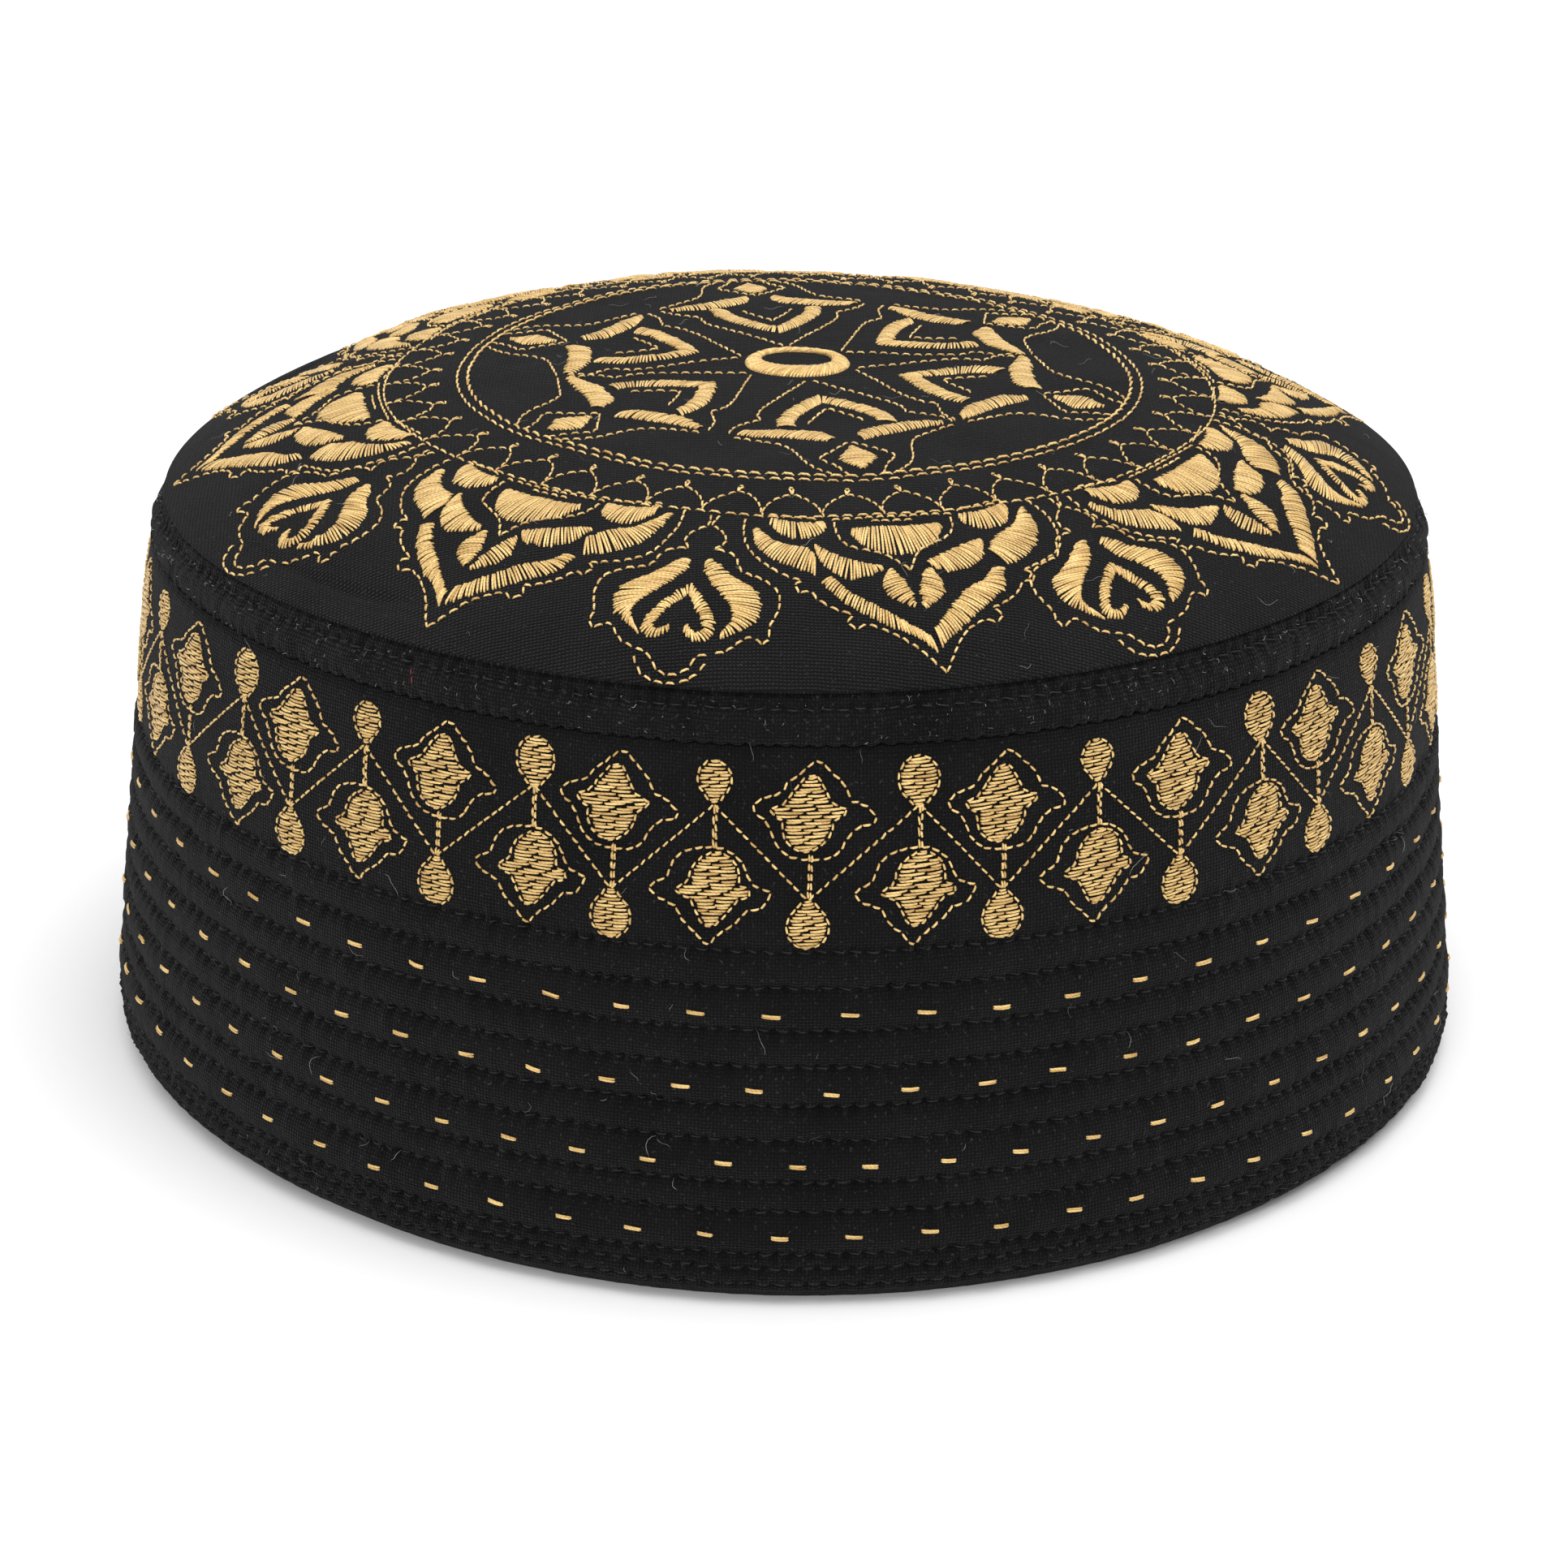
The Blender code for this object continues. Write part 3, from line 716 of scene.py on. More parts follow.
# Half-width at each height above the bottom of a flower's body, and how far its middle drifts sideways
FLOWER_BODY = (
    (0.0, 0.3, 0.3), (0.5, 1.3, 0.3), (1.5, 2.4, 0.4), (3.0, 3.0, 0.6), (4.3, 3.1, 0.7), (4.7, 4.2, 0.7), (5.3, 4.7, 0.8),
    (5.8, 4.4, 0.7), (6.2, 3.0, 0.7), (7.0, 2.4, 0.8), (8.0, 1.8, 0.9), (9.2, 1.0, 1.1), (9.9, 0.4, 1.3),
)
UP_FLOWER_LOW = 63.4
UP_FLOWER_LINE = (
    (0.2, 62.3), (-2.2, 62.6), (-4.1, 64.1), (-4.8, 65.9), (-5.8, 67.7), (-7.3, 68.6), (-7.1, 69.6), (-5.7, 70.5),
    (-3.6, 71.1), (-2.9, 72.3), (-1.1, 73.6), (1.3, 75.4), (2.7, 74.1), (4.3, 72.7), (5.3, 71.2), (5.7, 70.0),
    (7.3, 69.6), (8.5, 68.4), (9.1, 67.1), (6.8, 66.7), (5.3, 65.4), (4.3, 63.6), (2.8, 62.5),
)
DOWN_FLOWER_HIGH = 62.9
DOWN_FLOWER_LINE = (
    (0.0, 63.6), (-2.6, 63.3), (-4.4, 62.5), (-5.6, 61.1), (-6.1, 59.3), (-8.1, 58.2), (-8.6, 57.7), (-7.6, 56.4),
    (-5.1, 55.4), (-4.0, 53.4), (-2.2, 51.8), (-0.8, 50.1), (0.6, 51.8), (3.1, 53.6), (4.2, 55.2), (6.2, 55.5),
    (7.1, 56.8), (7.5, 57.9), (5.3, 58.6), (4.4, 60.2), (3.7, 61.8), (1.9, 63.2),
)
# Height from the drop's pointed end and half-width
DROP = ((0.0, 0.4), (0.7, 0.9), (1.4, 1.7), (2.6, 2.35), (4.0, 2.45), (5.2, 2.0), (6.0, 1.2), (6.4, 0.6))
SMALL_DROP = ((0.0, 0.4), (0.7, 0.9), (1.4, 1.5), (2.4, 1.95), (3.4, 2.0), (4.3, 1.6), (4.9, 0.9), (5.2, 0.5))


def flower_rails(low, upward):
    """Left and right rails of a flower's body."""
    sign = 1 if upward else -1
    lean = 1 if upward else -1
    left = [(lean * (drift - 0.7) - half, low + sign * rise) for rise, half, drift in FLOWER_BODY]
    right = [(lean * (drift - 0.7) + half, low + sign * rise) for rise, half, drift in FLOWER_BODY]
    return left, right


def brick_rows(left, right, pitch, seed, longest=3.6):
    """Near-level fill rows between two rails, each one split into stitches that overlap the next row's."""
    line_left, line_right = smooth_path(left), smooth_path(right)
    low = min(line_left[:, 1].min(), line_right[:, 1].min())
    high = max(line_left[:, 1].max(), line_right[:, 1].max())
    order_left = np.argsort(line_left[:, 1])
    order_right = np.argsort(line_right[:, 1])
    random = np.random.default_rng(seed)
    starts, ends = [], []
    for row, height in enumerate(np.arange(low + pitch * 0.5, high, pitch)):
        first = np.interp(height, line_left[order_left, 1], line_left[order_left, 0]) + random.normal(0, 0.08)
        last = np.interp(height, line_right[order_right, 1], line_right[order_right, 0]) + random.normal(0, 0.08)
        wide = last - first
        cuts = [first, last]
        if wide > longest:
            cuts = [first, first + wide * (0.36 + 0.26 * (row % 2) + random.normal(0, 0.05)), last]
        if wide > 2 * longest:
            cuts = [first, first + wide * (0.25 + 0.1 * (row % 3)), first + wide * (0.62 + 0.1 * (row % 3)), last]
        for near, far in zip(cuts, cuts[1:]):
            starts.append((near - 0.04, height - 0.08 + random.normal(0, 0.06)))
            ends.append((far + 0.08, height + 0.08 + random.normal(0, 0.06)))
    return np.array(starts), np.array(ends)


def to_wall(points, degrees):
    """Places and heights, in radians and metres, of frieze points drawn about a place."""
    place = math.radians(degrees) + points[..., 0] / FRIEZE_RADIUS_MM
    return np.stack([place, points[..., 1] * MM], -1)


def drop_rails(rows, point, upward):
    """Left and right rails of a drop whose pointed end stands at a height."""
    sign = 1 if upward else -1
    left = [(-half, point + sign * rise) for rise, half in rows]
    right = [(half, point + sign * rise) for rise, half in rows]
    return left, right


def frieze_pattern():
    """Stitches of the frieze round the wall, as fills and as lines."""
    fills, lines = [], []
    seed = 6000
    apexes = []
    for pair in range(FRIEZE_PAIRS):
        base = FRIEZE_FIRST + pair * 360 / FRIEZE_PAIRS
        for kind, step in FRIEZE_STEPS.items():
            apexes.append((base + step, kind))
    for index, (degrees, kind) in enumerate(apexes):
        seed += 50
        top = kind.endswith("top")
        next_degrees = apexes[(index + 1) % len(apexes)][0]
        gap = (next_degrees - degrees) % 360
        reach = math.radians(gap) * FRIEZE_RADIUS_MM
        here = TOP_APEX if top else LOW_APEX
        there = LOW_APEX if top else TOP_APEX
        zigzag = ((0.0, here), (reach / 2, (here + there) / 2 + 0.1), (reach, there))
        drop = SMALL_DROP if kind == "small_top" else DROP
        point = TOP_APEX - 0.2 if top else LOW_APEX - 0.2
        if kind == "small_top":
            point += 0.6
        left, right = drop_rails(drop, point, top)
        sketch = [running(zigzag, 1.15, 0.2, seed + 1, smooth=False)]
        if top:
            rails = flower_rails(DOWN_FLOWER_HIGH, False)
            sketch.append(running(DOWN_FLOWER_LINE, 1.25, 0.2, seed + 2, True))
            stem = ((0.1, TOP_APEX), (-0.1, (TOP_APEX + DOWN_FLOWER_HIGH) / 2), (0.0, DOWN_FLOWER_HIGH + 0.3))
        else:
            rails = flower_rails(UP_FLOWER_LOW, True)
            sketch.append(running(UP_FLOWER_LINE, 1.25, 0.2, seed + 2, True))
            stem = ((0.0, LOW_APEX), (0.1, (LOW_APEX + UP_FLOWER_LOW) / 2), (0.2, UP_FLOWER_LOW - 0.3))
        sketch.append(running(stem, 1.25, 0.12, seed + 3))
        offset_stem = [(x + 0.35, height) for x, height in stem]
        sketch.append(running(offset_stem, 1.05, 0.15, seed + 4))
        for order, (side_left, side_right) in enumerate((rails, (left, right))):
            starts, ends = brick_rows(side_left, side_right, 0.45, seed + 10 + order)
            fills.append((to_wall(starts, degrees), to_wall(ends, degrees)))
            edge = [(x - 0.32, height) for x, height in side_left]
            edge += [(x + 0.32, height) for x, height in side_right[::-1]]
            sketch.append(running(edge, 1.1, 0.22, seed + 20 + order, True))
        for starts, ends in sketch:
            lines.append((to_wall(starts, degrees), to_wall(ends, degrees)))
    return fills, lines


# Gold dashes on the ribs. Height in millimetres, dashes round the cap, and the middle of one of them
DASH_ROWS = (
    {"height": 41.05, "count": 57, "place": -7.06, "length": 2.45},
    {"height": 30.45, "count": 57, "place": -8.32, "length": 2.45},
    {"height": 20.10, "count": 59, "place": -4.66, "length": 2.35},
    {"height": 10.25, "count": 60, "place": -5.99, "length": 2.35},
)
# How far the gold dashes climb on the left side, in millimetres
ROW_RISE = 1.7


def dash_stitches():
    """Starts and ends of the gold dashes, each one two strands side by side."""
    starts, ends = [], []
    for order, row in enumerate(DASH_ROWS):
        random = np.random.default_rng(300 + order)
        count = row["count"]
        radius = HEM_RADIUS / MM * np.interp(row["height"] * MM / WALL_HEIGHT, WALL_SHARES, WALL_RADII)
        middle = np.radians(row["place"] + np.arange(count) * 360 / count) + random.normal(0, 0.22, count) / radius
        half = (row["length"] / 2 + random.normal(0, 0.08, count)) / radius
        turned = (np.degrees(middle) + 180) % 360 - 180
        rise = ROW_RISE * np.clip((-turned - 35) / 40, 0, 1) * np.clip((150 + turned) / 40, 0, 1)
        height = row["height"] + rise + random.normal(0, 0.15, count)
        slope = random.normal(0.06, 0.07, count)
        for strand in (-0.13, 0.13):
            cross = strand * np.where(random.uniform(0, 1, count) < 0.5, -1, 1)
            starts.append(np.stack([middle - half, (height + slope + strand) * MM], -1))
            ends.append(np.stack([middle + half, (height - slope + strand + 0.3 * cross) * MM], -1))
    return np.concatenate(starts), np.concatenate(ends)


def black_rows():
    """Starts and ends of the black quilting stitches, between their needle holes."""
    starts, ends = [], []
    pitch = 2 * math.pi / ROW_COUNT
    for index, height in enumerate(ROW_HEIGHTS):
        turn = (np.arange(ROW_COUNT) + 0.5 - 0.37 * index) * pitch
        random = np.random.default_rng(500 + index)
        low = turn + random.normal(0, 0.05, ROW_COUNT) * pitch
        starts.append(np.stack([low, height + random.normal(0, 0.06, ROW_COUNT) * MM], -1))
        ends.append(np.stack([low + pitch * 0.93, height + random.normal(0, 0.06, ROW_COUNT) * MM], -1))
    return np.concatenate(starts), np.concatenate(ends)


def band_row():
    """Starts and ends of the band's black topstitching."""
    pitch = 2 * math.pi / ROW_COUNT
    turn = (np.arange(ROW_COUNT) + 0.5 - 0.37 * 12) * pitch
    random = np.random.default_rng(540)
    low = np.stack([turn, BAND_ROW + random.normal(0, 0.06, ROW_COUNT) * MM], -1)
    high = np.stack([turn + pitch * 0.92, BAND_ROW + random.normal(0, 0.06, ROW_COUNT) * MM], -1)
    return low, high


# Materials

def start_material(name):
    """A new material with its node tree and its main shader."""
    made = bpy.data.materials.new(name)
    made.use_nodes = True
    return made, made.node_tree, made.node_tree.nodes["Principled BSDF"]


def add_node(tree, kind, **settings):
    """A node with its properties and its sockets set by name."""
    made = tree.nodes.new(kind)
    for key, value in settings.items():
        if hasattr(made, key):
            setattr(made, key, value)
        else:
            made.inputs[key.replace("_", " ")].default_value = value
    return made


def colour_steps(tree, steps):
    """A colour ramp from pairs of place and colour."""
    ramp = tree.nodes.new("ShaderNodeValToRGB")
    band = ramp.color_ramp
    band.elements[0].position, band.elements[0].color = steps[0][0], (*steps[0][1], 1)
    band.elements[1].position, band.elements[1].color = steps[-1][0], (*steps[-1][1], 1)
    for place, colour in steps[1:-1]:
        band.elements.new(place).color = (*colour, 1)
    return ramp


def woven_cloth(name, dark, light, pitch, weave_depth, fuzz):
    """Plain-weave cotton with uneven yarns, faded patches, pale fluff, and painted shading and light that follow the
    weave's height.
    """
    made, tree, shader = start_material(name)
    join = tree.links.new
    place = add_node(tree, "ShaderNodeUVMap", uv_map="cloth_metres")
    wobble = add_node(tree, "ShaderNodeTexNoise", noise_dimensions="2D", Scale=260.0, Detail=1.0)
    join(place.outputs["UV"], wobble.inputs["Vector"])
    bend = add_node(tree, "ShaderNodeVectorMath", operation="SCALE", Scale=0.00035)
    join(wobble.outputs["Color"], bend.inputs[0])
    bent = add_node(tree, "ShaderNodeVectorMath", operation="ADD")
    join(place.outputs["UV"], bent.inputs[0])
    join(bend.outputs["Vector"], bent.inputs[1])
    waves = []
    for direction in ("X", "Y"):
        wave = add_node(tree, "ShaderNodeTexWave", wave_type="BANDS", bands_direction=direction,
                        Scale=2 * math.pi / 20 / pitch, Distortion=0.0)
        join(bent.outputs["Vector"], wave.inputs["Vector"])
        waves.append(wave)
    check = add_node(tree, "ShaderNodeTexChecker", Scale=1 / pitch)
    join(bent.outputs["Vector"], check.inputs["Vector"])
    weave = add_node(tree, "ShaderNodeMath", operation="MULTIPLY")
    join(waves[0].outputs["Fac"], weave.inputs[0])
    join(waves[1].outputs["Fac"], weave.inputs[1])
    raised = add_node(tree, "ShaderNodeMath", operation="MULTIPLY_ADD")
    raised.inputs[1].default_value = 0.25
    join(check.outputs["Fac"], raised.inputs[0])
    join(weave.outputs["Value"], raised.inputs[2])
    patches = add_node(tree, "ShaderNodeTexNoise", noise_dimensions="2D", Scale=85.0, Detail=5.0, Roughness=0.62)
    join(place.outputs["UV"], patches.inputs["Vector"])
    tone = colour_steps(tree, ((0.30, dark), (0.72, light)))
    join(patches.outputs["Fac"], tone.inputs["Fac"])
    # Painted shading and light: the cloth's colour is multiplied by the weave's height, darker in the gaps between the
    # yarns and lighter on their tops. The checker's share gives warp and weft slightly different tones.
    yarn_painted_shade_mix = add_node(tree, "ShaderNodeMix", data_type="RGBA", blend_type="MULTIPLY")
    weave_painted_shade = colour_steps(tree, ((0.0, (0.25, 0.25, 0.26)), (0.85, (1.75, 1.75, 1.75))))
    join(raised.outputs["Value"], weave_painted_shade.inputs["Fac"])
    yarn_painted_shade_mix.inputs["Factor"].default_value = 1.0
    join(tone.outputs["Color"], yarn_painted_shade_mix.inputs[6])
    join(weave_painted_shade.outputs["Color"], yarn_painted_shade_mix.inputs[7])
    fluff = add_node(tree, "ShaderNodeTexNoise", noise_dimensions="2D", Scale=1500.0, Detail=2.0, Roughness=0.7)
    join(place.outputs["UV"], fluff.inputs["Vector"])
    fluff_mask = colour_steps(tree, ((fuzz, (0.0, 0.0, 0.0)), (fuzz + 0.10, (0.5, 0.5, 0.5))))
    join(fluff.outputs["Fac"], fluff_mask.inputs["Fac"])
    cover = add_node(tree, "ShaderNodeMix", data_type="RGBA")
    join(fluff_mask.outputs["Color"], cover.inputs["Factor"])
    join(yarn_painted_shade_mix.outputs[2], cover.inputs[6])
    cover.inputs[7].default_value = (0.06, 0.06, 0.06, 1)
    join(cover.outputs[2], shader.inputs["Base Color"])
    hair = add_node(tree, "ShaderNodeTexNoise", noise_dimensions="2D", Scale=2600.0, Detail=3.0, Roughness=0.6)
    join(place.outputs["UV"], hair.inputs["Vector"])
    rough_height = add_node(tree, "ShaderNodeMath", operation="MULTIPLY_ADD")
    rough_height.inputs[1].default_value = 0.7
    join(hair.outputs["Fac"], rough_height.inputs[0])
    join(raised.outputs["Value"], rough_height.inputs[2])
    bump = add_node(tree, "ShaderNodeBump", Strength=0.8, Distance=weave_depth)
    join(rough_height.outputs["Value"], bump.inputs["Height"])
    join(bump.outputs["Normal"], shader.inputs["Normal"])
    shader.inputs["Roughness"].default_value = 0.88
    shader.inputs["Specular IOR Level"].default_value = 0.12
    shader.inputs["Sheen Weight"].default_value = 0.05
    shader.inputs["Sheen Roughness"].default_value = 0.45
    shader.inputs["Sheen Tint"].default_value = (0.75, 0.75, 0.80, 1)
    return made


def spun_thread(name, dark, light, roughness, sheen, twist_depth):
    """Thread of twisted strands, with its tone drifting from stitch to stitch and painted shading in the grooves of its
    twist.
    """
    made, tree, shader = start_material(name)
    join = tree.links.new
    place = add_node(tree, "ShaderNodeUVMap", uv_map="cloth_metres")
    drift = add_node(tree, "ShaderNodeTexNoise", noise_dimensions="2D", Scale=190.0, Detail=3.0, Roughness=0.6)
    join(place.outputs["UV"], drift.inputs["Vector"])
    tone = colour_steps(tree, ((0.28, dark), (0.70, light)))
    join(drift.outputs["Fac"], tone.inputs["Fac"])
    twist = add_node(tree, "ShaderNodeTexWave", wave_type="BANDS", bands_direction="DIAGONAL",
                     Scale=2 * math.pi / 20 / 0.00028, Distortion=1.5, Detail=1.0)
    join(place.outputs["UV"], twist.inputs["Vector"])
    # Painted shading: the twist's grooves darken the thread's colour, on top of the twist's bump.
    groove = add_node(tree, "ShaderNodeMix", data_type="RGBA", blend_type="MULTIPLY")
    twist_painted_shade = colour_steps(tree, ((0.0, (0.72, 0.66, 0.58)), (0.6, (1.0, 1.0, 1.0))))
    join(twist.outputs["Fac"], twist_painted_shade.inputs["Fac"])
    groove.inputs["Factor"].default_value = 0.6
    join(tone.outputs["Color"], groove.inputs[6])
    join(twist_painted_shade.outputs["Color"], groove.inputs[7])
    join(groove.outputs[2], shader.inputs["Base Color"])
    bump = add_node(tree, "ShaderNodeBump", Strength=0.5, Distance=twist_depth)
    join(twist.outputs["Fac"], bump.inputs["Height"])
    join(bump.outputs["Normal"], shader.inputs["Normal"])
    shader.inputs["Roughness"].default_value = roughness
    shader.inputs["Specular IOR Level"].default_value = 0.5
    shader.inputs["Sheen Weight"].default_value = sheen
    shader.inputs["Sheen Roughness"].default_value = 0.4
    return made


# Cloth shells

WALL_COLUMNS = 4 * ROW_COUNT
CROWN_COLUMNS = 520


def build_wall(finish):
    """The quilted side wall, from the rim to the band."""
    heights = list(np.linspace(0, LIP_HEIGHT, 5)[:-1])
    edges = np.concatenate([[LIP_HEIGHT], ROW_HEIGHTS])
    for low, high in zip(edges, edges[1:]):
        parts = (0.0, 0.11, 0.28, 0.50, 0.72, 0.89) if high - low > 0.003 else (0.0, 0.33, 0.67)
        heights += [low + part * (high - low) for part in parts]
    heights += list(ROW_HEIGHTS[-1] + (WALL_HEIGHT - ROW_HEIGHTS[-1]) * np.linspace(0, 1, 20) ** 1.15)
    heights = np.array(heights)
    place = np.arange(WALL_COLUMNS) / WALL_COLUMNS * 2 * math.pi
    place = np.where(place > math.pi, place - 2 * math.pi, place)
    outer = quilted_point(*np.broadcast_arrays(place[None], heights[:, None]))
    inner_heights = np.linspace(WALL_HEIGHT, 0, 7)
    grid_place, grid_height = np.broadcast_arrays(place[None], inner_heights[:, None])
    radius = HEM_RADIUS * np.interp(grid_height / WALL_HEIGHT, WALL_SHARES, WALL_RADII) - WALL_CLOTH
    inner = turn_out(grid_place, radius, grid_height)
    rows = np.concatenate([outer, inner])
    marks = np.concatenate([heights, WALL_HEIGHT + WALL_CLOTH + (WALL_HEIGHT - inner_heights)])
    girth = 2 * math.pi * HEM_RADIUS * 0.96
    return dress(round_shell("side_wall_cloth", rows, marks, WALL_CLOTH, girth), "side_cloth", finish, "side_wall")


def build_band(finish):
    """The narrow band under the crown."""
    gap = SEAM_GAP * math.hypot(1.0, mitre_drop())
    low, high = WALL_HEIGHT + SEAM_GAP, SEAM_HEIGHT - gap
    heights = np.linspace(low, high, 19)
    place = np.arange(WALL_COLUMNS) / WALL_COLUMNS * 2 * math.pi
    place = np.where(place > math.pi, place - 2 * math.pi, place)
    outer = band_point(*np.broadcast_arrays(place[None], heights[:, None]))
    inner_heights = np.linspace(high - BAND_CLOTH * mitre_drop(), low, 5)
    grid_place, grid_height = np.broadcast_arrays(place[None], inner_heights[:, None])
    along = (grid_height - low) / (high - low)
    low_radius = HEM_RADIUS * WALL_RADII[-1] + BAND_PROUD
    radius = low_radius + along ** BAND_LEAN * (SEAM_RADIUS - low_radius) - BAND_CLOTH
    inner = turn_out(grid_place, radius, grid_height)
    rows = np.concatenate([outer, inner])
    marks = np.concatenate([heights, high + BAND_CLOTH + (inner_heights[0] - inner_heights)])
    girth = 2 * math.pi * HEM_RADIUS * 0.93
    return dress(round_shell("top_band_cloth", rows, marks, BAND_CLOTH, girth), "band_cloth", finish, "top_band")


def build_crown(finish):
    """The domed crown, closed over and under the cloth."""
    share = np.concatenate([np.linspace(0, 0.93, 88)[1:], np.linspace(0.93, 1.0, 22)[1:]])
    place = np.arange(CROWN_COLUMNS) / CROWN_COLUMNS * 2 * math.pi
    x = share[:, None] * SEAM_RADIUS * np.sin(place)[None]
    y = -share[:, None] * SEAM_RADIUS * np.cos(place)[None]
    outer = crown_point(x, y)
    edge = crown_point(x[-1:], y[-1:]) - np.array([0, 0, 0.00025])
    reach = 1 - CROWN_CLOTH / SEAM_RADIUS
    under_share = np.linspace(1.0, 0.04, 16)
    under_x = under_share[:, None] * reach * SEAM_RADIUS * np.sin(place)[None]
    under_y = -under_share[:, None] * reach * SEAM_RADIUS * np.cos(place)[None]
    under = crown_point(under_x, under_y)
    slope = DOME_RISE * DOME_POWER * (under_share * reach) ** (DOME_POWER - 1) / SEAM_RADIUS
    under[..., 2] -= (CROWN_CLOTH / np.cos(np.arctan(slope)))[:, None]
    rows = np.concatenate([outer, edge, under])
    top = crown_point(np.zeros(1), np.zeros(1))
    bottom = top - np.array([0, 0, CROWN_CLOTH])
    corners = np.concatenate([rows.reshape(-1, 3), top, bottom])
    count, columns = rows.shape[:2]
    row, column = np.meshgrid(np.arange(count - 1), np.arange(columns), indexing="ij")
    after = (column + 1) % columns
    faces = np.stack([row * columns + column, (row + 1) * columns + column, (row + 1) * columns + after,
                      row * columns + after], -1).reshape(-1, 4)
    column = np.arange(columns)
    after = (column + 1) % columns
    last = (count - 1) * columns
    crest = np.stack([np.full(columns, count * columns), column, after], -1)
    base = np.stack([np.full(columns, count * columns + 1), last + after, last + column], -1)
    plan = np.concatenate([np.stack([x, y], -1), np.stack([x[-1:], y[-1:]], -1), np.stack([under_x, under_y], -1)])
    plan = np.concatenate([plan.reshape(-1, 2), np.zeros((2, 2))]) + 0.2
    piece = new_mesh("crown_cloth", corners, [faces, crest, base], [plan[faces], plan[crest], plan[base]])
    return dress(piece, "crown_cloth", finish, "crown")


# Loose fibres

def fibre_piece(name, count, lay, spread, length, width, seed, slot, finish):
    """Fine curled hairs that lie on the cloth, as one mesh."""
    random = np.random.default_rng(seed)
    batches = []
    rings, sides = 7, 3
    middle = spread(random, count)
    heading = random.uniform(0, 2 * math.pi, count)
    curl = random.normal(0, 1.1, count)
    size = length * random.uniform(0.35, 1.6, count) ** 1.4
    share = np.linspace(-0.5, 0.5, rings)
    angle = heading[:, None] + curl[:, None] * share[None] + 0.3 * np.sin(share * 7 + heading[:, None])
    step = np.stack([np.cos(angle), np.sin(angle)], -1) * (size / rings)[:, None, None]
    track = np.cumsum(step, axis=1)
    scale = np.array([1 / (0.95 * HEM_RADIUS), 1.0]) if lay is not crown_lay else np.array([1.0, 1.0])
    pairs = middle[:, None] + track * scale
    points, normals = lay(pairs)
    lift = (0.00012 + 0.00035 * np.abs(np.sin(share[None] * 3 + heading[:, None])))[..., None]
    points = points + normals * lift
    direction = np.gradient(points, axis=1)
    direction = direction / np.maximum(np.linalg.norm(direction, axis=-1, keepdims=True), 1e-12)
    side = np.cross(direction, normals)
    side = side / np.maximum(np.linalg.norm(side, axis=-1, keepdims=True), 1e-12)
    up = np.cross(side, direction)
    turn = 2 * math.pi * np.arange(sides) / sides
    thin = (np.array([0.4, 0.9, 1, 1, 1, 0.9, 0.4]) * width / 2)[None, :, None, None]
    thin = thin * random.uniform(0.7, 1.3, (count, 1, 1, 1))
    corners = points[:, :, None] + thin * (side[:, :, None] * np.cos(turn)[:, None] + up[:, :, None] * np.sin(turn)[:, None])
    first = (np.arange(count) * rings * sides)[:, None, None]
    ring, around = np.meshgrid(np.arange(rings - 1), np.arange(sides), indexing="ij")
    after = (around + 1) % sides
    quads = np.stack([ring * sides + around, ring * sides + after, (ring + 1) * sides + after,
                      (ring + 1) * sides + around], -1).reshape(1, -1, 4) + first
    cap = np.arange(sides)
    caps = np.stack([cap[::-1], cap + (rings - 1) * sides]).reshape(1, 2, sides) + first
    places = np.zeros((count * (rings - 1) * sides, 4, 2)) + np.repeat(random.uniform(0, 1, (count, 1)), (rings - 1) * sides, 0)[:, :, None]
    batches.append((corners.reshape(-1, 3), quads.reshape(-1, 4), caps.reshape(-1, sides), places,
                    np.zeros((count * 2, sides, 2))))
    return thread_piece(name, batches, slot, finish)


def over_wall(random, count):
    """Random places and heights on the wall."""
    return np.stack([random.uniform(-math.pi, math.pi, count), random.uniform(0.002, WALL_HEIGHT - 0.001, count)], -1)


def over_band(random, count):
    """Random places and heights on the band."""
    return np.stack([random.uniform(-math.pi, math.pi, count), random.uniform(WALL_HEIGHT + 0.001, SEAM_HEIGHT - 0.001, count)], -1)


def over_crown(random, count):
    """Random nominal plan points on the crown."""
    radius = SEAM_RADIUS * 0.985 * np.sqrt(random.uniform(0, 1, count))
    turn = random.uniform(0, 2 * math.pi, count)
    return np.stack([radius * np.sin(turn), radius * np.cos(turn)], -1)


# Building

def stitch_batches(lay, groups, width, profile, seed):
    """Stitches of several groups in one batch."""
    starts = np.concatenate([first for first, last in groups])
    ends = np.concatenate([last for first, last in groups])
    return lay_stitches(lay, starts, ends, width, width * 0.65, profile, 4, seed)


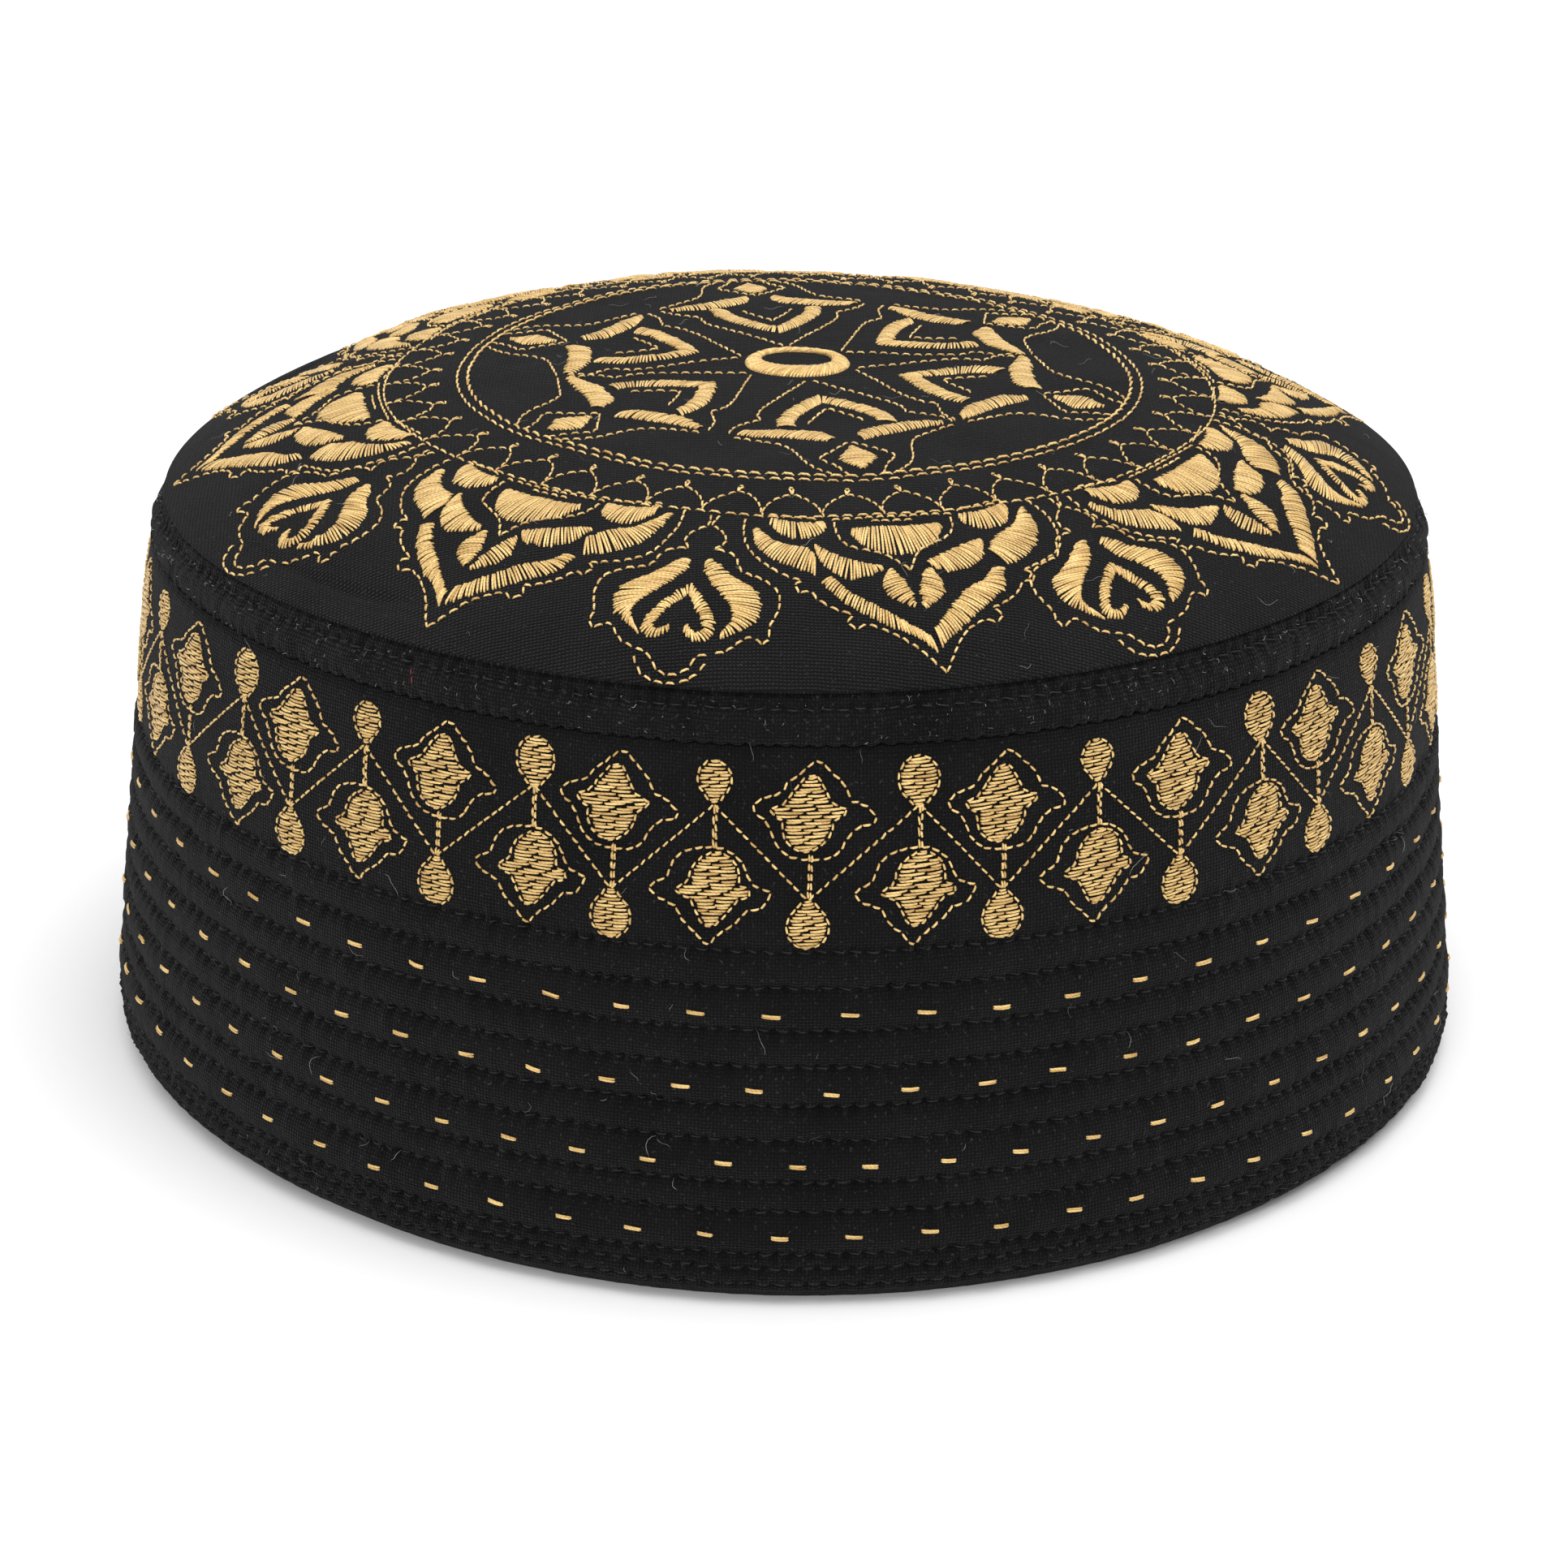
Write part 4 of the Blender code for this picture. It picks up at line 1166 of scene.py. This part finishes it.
def build_cap():
    """Every piece of the cap."""
    side_cloth = woven_cloth("side_cotton", (0.0028, 0.0027, 0.0028), (0.0066, 0.0063, 0.0066), 0.00047, 0.00026, 0.66)
    band_cloth = woven_cloth("band_cotton", (0.0026, 0.0026, 0.0027), (0.0074, 0.0072, 0.0074), 0.00047, 0.00030, 0.64)
    # The crown's cotton has lighter tones than the wall's and the band's: painted top light on the same black cloth.
    crown_cloth = woven_cloth("crown_cotton", (0.0034, 0.0033, 0.0034), (0.0074, 0.0071, 0.0072), 0.00050, 0.00042, 0.68)
    red = spun_thread("red_fibre", (0.25, 0.01, 0.03), (0.50, 0.03, 0.07), 0.6, 0.1, 0.00002)
    gold = spun_thread("gold_embroidery", (0.51, 0.295, 0.082), (0.96, 0.68, 0.265), 0.27, 0.08, 0.00006)
    black = spun_thread("black_sewing", (0.0018, 0.0018, 0.0019), (0.0044, 0.0044, 0.0046), 0.75, 0.04, 0.00005)
    lint = spun_thread("lint_fibres", (0.08, 0.08, 0.08), (0.50, 0.50, 0.48), 0.6, 0.3, 0.00002)
    wall = build_wall(side_cloth)
    build_band(band_cloth)
    build_crown(crown_cloth)
    fills, lines = crown_pattern()
    thread_piece("crown_fills", [stitch_batches(crown_lay, fills, GOLD_WIDTH, SATIN_PROFILE, 71)], "gold_thread", gold)
    ring_batches = [stitch_batches(crown_lay, lines, RUN_WIDTH, RUN_PROFILE, 72)]
    for order, (starts, ends, width) in enumerate(crown_rings()):
        ring_batches.append(lay_stitches(crown_lay, starts, ends, width, width * 0.65, RUN_PROFILE, 4, 73 + order))
    thread_piece("crown_lines", ring_batches, "gold_thread", gold)
    starts, ends = centre_ring()
    ring_profile = ((0.0, -0.3, 0.9), (0.12, 0.6, 1.0), (0.35, 1.1, 1.05), (0.65, 1.1, 1.0), (0.88, 0.6, 0.9), (1.0, -0.3, 0.8))
    thread_piece("crown_centre_ring", [lay_stitches(crown_lay, starts, ends, 0.00050, 0.00036, ring_profile, 5, 90)],
                 "gold_thread", gold)
    fills, lines = frieze_pattern()
    thread_piece("frieze_fills", [stitch_batches(wall_lay, fills, GOLD_WIDTH, SATIN_PROFILE, 91)], "gold_thread", gold)
    thread_piece("frieze_lines", [stitch_batches(wall_lay, lines, RUN_WIDTH * 0.96, RUN_PROFILE, 92)], "gold_thread", gold)
    starts, ends = dash_stitches()
    dash_profile = ((0.0, -0.6, 0.6), (0.12, 0.35, 1.0), (0.5, 0.6, 1.05), (0.88, 0.35, 1.0), (1.0, -0.6, 0.6))
    thread_piece("gold_dashes", [lay_stitches(wall_lay, starts, ends, 0.00031, 0.00028, dash_profile, 6, 93)],
                 "gold_thread", gold)
    starts, ends = black_rows()
    thread_piece("wall_topstitch", [lay_stitches(wall_lay, starts, ends, BLACK_WIDTH, BLACK_WIDTH, SMALL_PROFILE, 4, 94)],
                 "black_thread", black)
    starts, ends = band_row()
    thread_piece("band_topstitch", [lay_stitches(band_lay, starts, ends, BLACK_WIDTH, BLACK_WIDTH, SMALL_PROFILE, 4, 95)],
                 "black_thread", black)
    fibre_piece("wall_lint", 180, wall_lay, over_wall, 0.0024, 0.000040, 101, "side_cloth", lint)
    fibre_piece("band_lint", 460, band_lay, over_band, 0.00045, 0.00005, 102, "band_cloth", lint)
    fibre_piece("crown_lint", 130, crown_lay, over_crown, 0.0024, 0.000040, 103, "crown_cloth", lint)
    starts = np.array([[math.radians(-34.5), 0.0808], [math.radians(-34.1), 0.0800]])
    ends = np.array([[math.radians(-34.1), 0.0800], [math.radians(-33.9), 0.0789]])
    thread_piece("red_lint", [lay_stitches(band_lay, starts, ends, 0.0001, 0.0001, SMALL_PROFILE, 4, 120)],
                 "band_cloth", red)


# Surroundings

FOCAL_PIXELS = 5000.0
FRAME_PIXELS = 1932
CAMERA_TILT = 0.4204
CAMERA_ROLL = 0.0068
CAMERA_DISTANCE = 0.60652
CAMERA_TARGET = np.array([0.000076, 0.0, 0.033355])


def build_camera():
    """The camera at the photograph's place."""
    tilt, roll = CAMERA_TILT, CAMERA_ROLL
    forward = np.array([0.0, math.cos(tilt), -math.sin(tilt)])
    right = np.array([1.0, 0.0, 0.0])
    up = np.array([0.0, math.sin(tilt), math.cos(tilt)])
    turned_right = math.cos(roll) * right + math.sin(roll) * up
    turned_up = -math.sin(roll) * right + math.cos(roll) * up
    eye = CAMERA_TARGET - CAMERA_DISTANCE * forward
    data = bpy.data.cameras.new("camera")
    data.sensor_width = 36.0
    data.lens = 36.0 * FOCAL_PIXELS / FRAME_PIXELS
    camera = bpy.data.objects.new("camera", data)
    columns = np.stack([turned_right, turned_up, -forward, eye], -1)
    camera.matrix_world = Matrix([list(row) for row in columns] + [[0, 0, 0, 1]])
    bpy.context.scene.collection.objects.link(camera)
    bpy.context.scene.camera = camera


def build_light(name, place, aim, size, power):
    """A soft area light."""
    data = bpy.data.lights.new(name, "AREA")
    data.shape = "DISK"
    data.size = size
    data.energy = power
    light = bpy.data.objects.new(name, data)
    light.location = place
    light.rotation_mode = "QUATERNION"
    light.rotation_quaternion = (Vector(aim) - Vector(place)).to_track_quat("-Z", "Y")
    bpy.context.scene.collection.objects.link(light)


def build_studio():
    """A white floor, a white room and soft light."""
    corners = [(4, 4, 0), (-4, 4, 0), (-4, -4, 0), (4, -4, 0)]
    mesh = bpy.data.meshes.new("floor")
    mesh.from_pydata([Vector(corner) for corner in corners], [], [(0, 1, 2, 3)])
    floor = bpy.data.objects.new("floor", mesh)
    floor.location = (0, 0, -0.0001)
    made, tree, shader = start_material("white_ground")
    place = add_node(tree, "ShaderNodeTexCoord")
    mottle = add_node(tree, "ShaderNodeTexNoise", Scale=3.0, Detail=2.0)
    tree.links.new(place.outputs["Object"], mottle.inputs["Vector"])
    tone = colour_steps(tree, ((0.3, (0.93, 0.93, 0.93)), (0.7, (0.95, 0.95, 0.95))))
    tree.links.new(mottle.outputs["Fac"], tone.inputs["Fac"])
    tree.links.new(tone.outputs["Color"], shader.inputs["Base Color"])
    shader.inputs["Roughness"].default_value = 0.9
    shader.inputs["Specular IOR Level"].default_value = 0.1
    floor.data.materials.append(made)
    bpy.context.scene.collection.objects.link(floor)
    world = bpy.data.worlds.new("white_room")
    world.use_nodes = True
    world.node_tree.nodes["Background"].inputs["Color"].default_value = (1.0, 1.0, 1.0, 1)
    world.node_tree.nodes["Background"].inputs["Strength"].default_value = 0.57
    bpy.context.scene.world = world
    build_light("key", (0.4, -0.15, 1.1), (0, 0, 0.05), 0.9, 6.5)
    build_light("top", (-0.15, 0.15, 1.2), (0, 0, 0.05), 1.3, 7)
    build_light("front", (-0.3, -1.1, 0.7), (0, 0, 0.05), 0.6, 4.5)
    bpy.context.scene.view_settings.view_transform = "Standard"


build_camera()
build_studio()
build_cap()
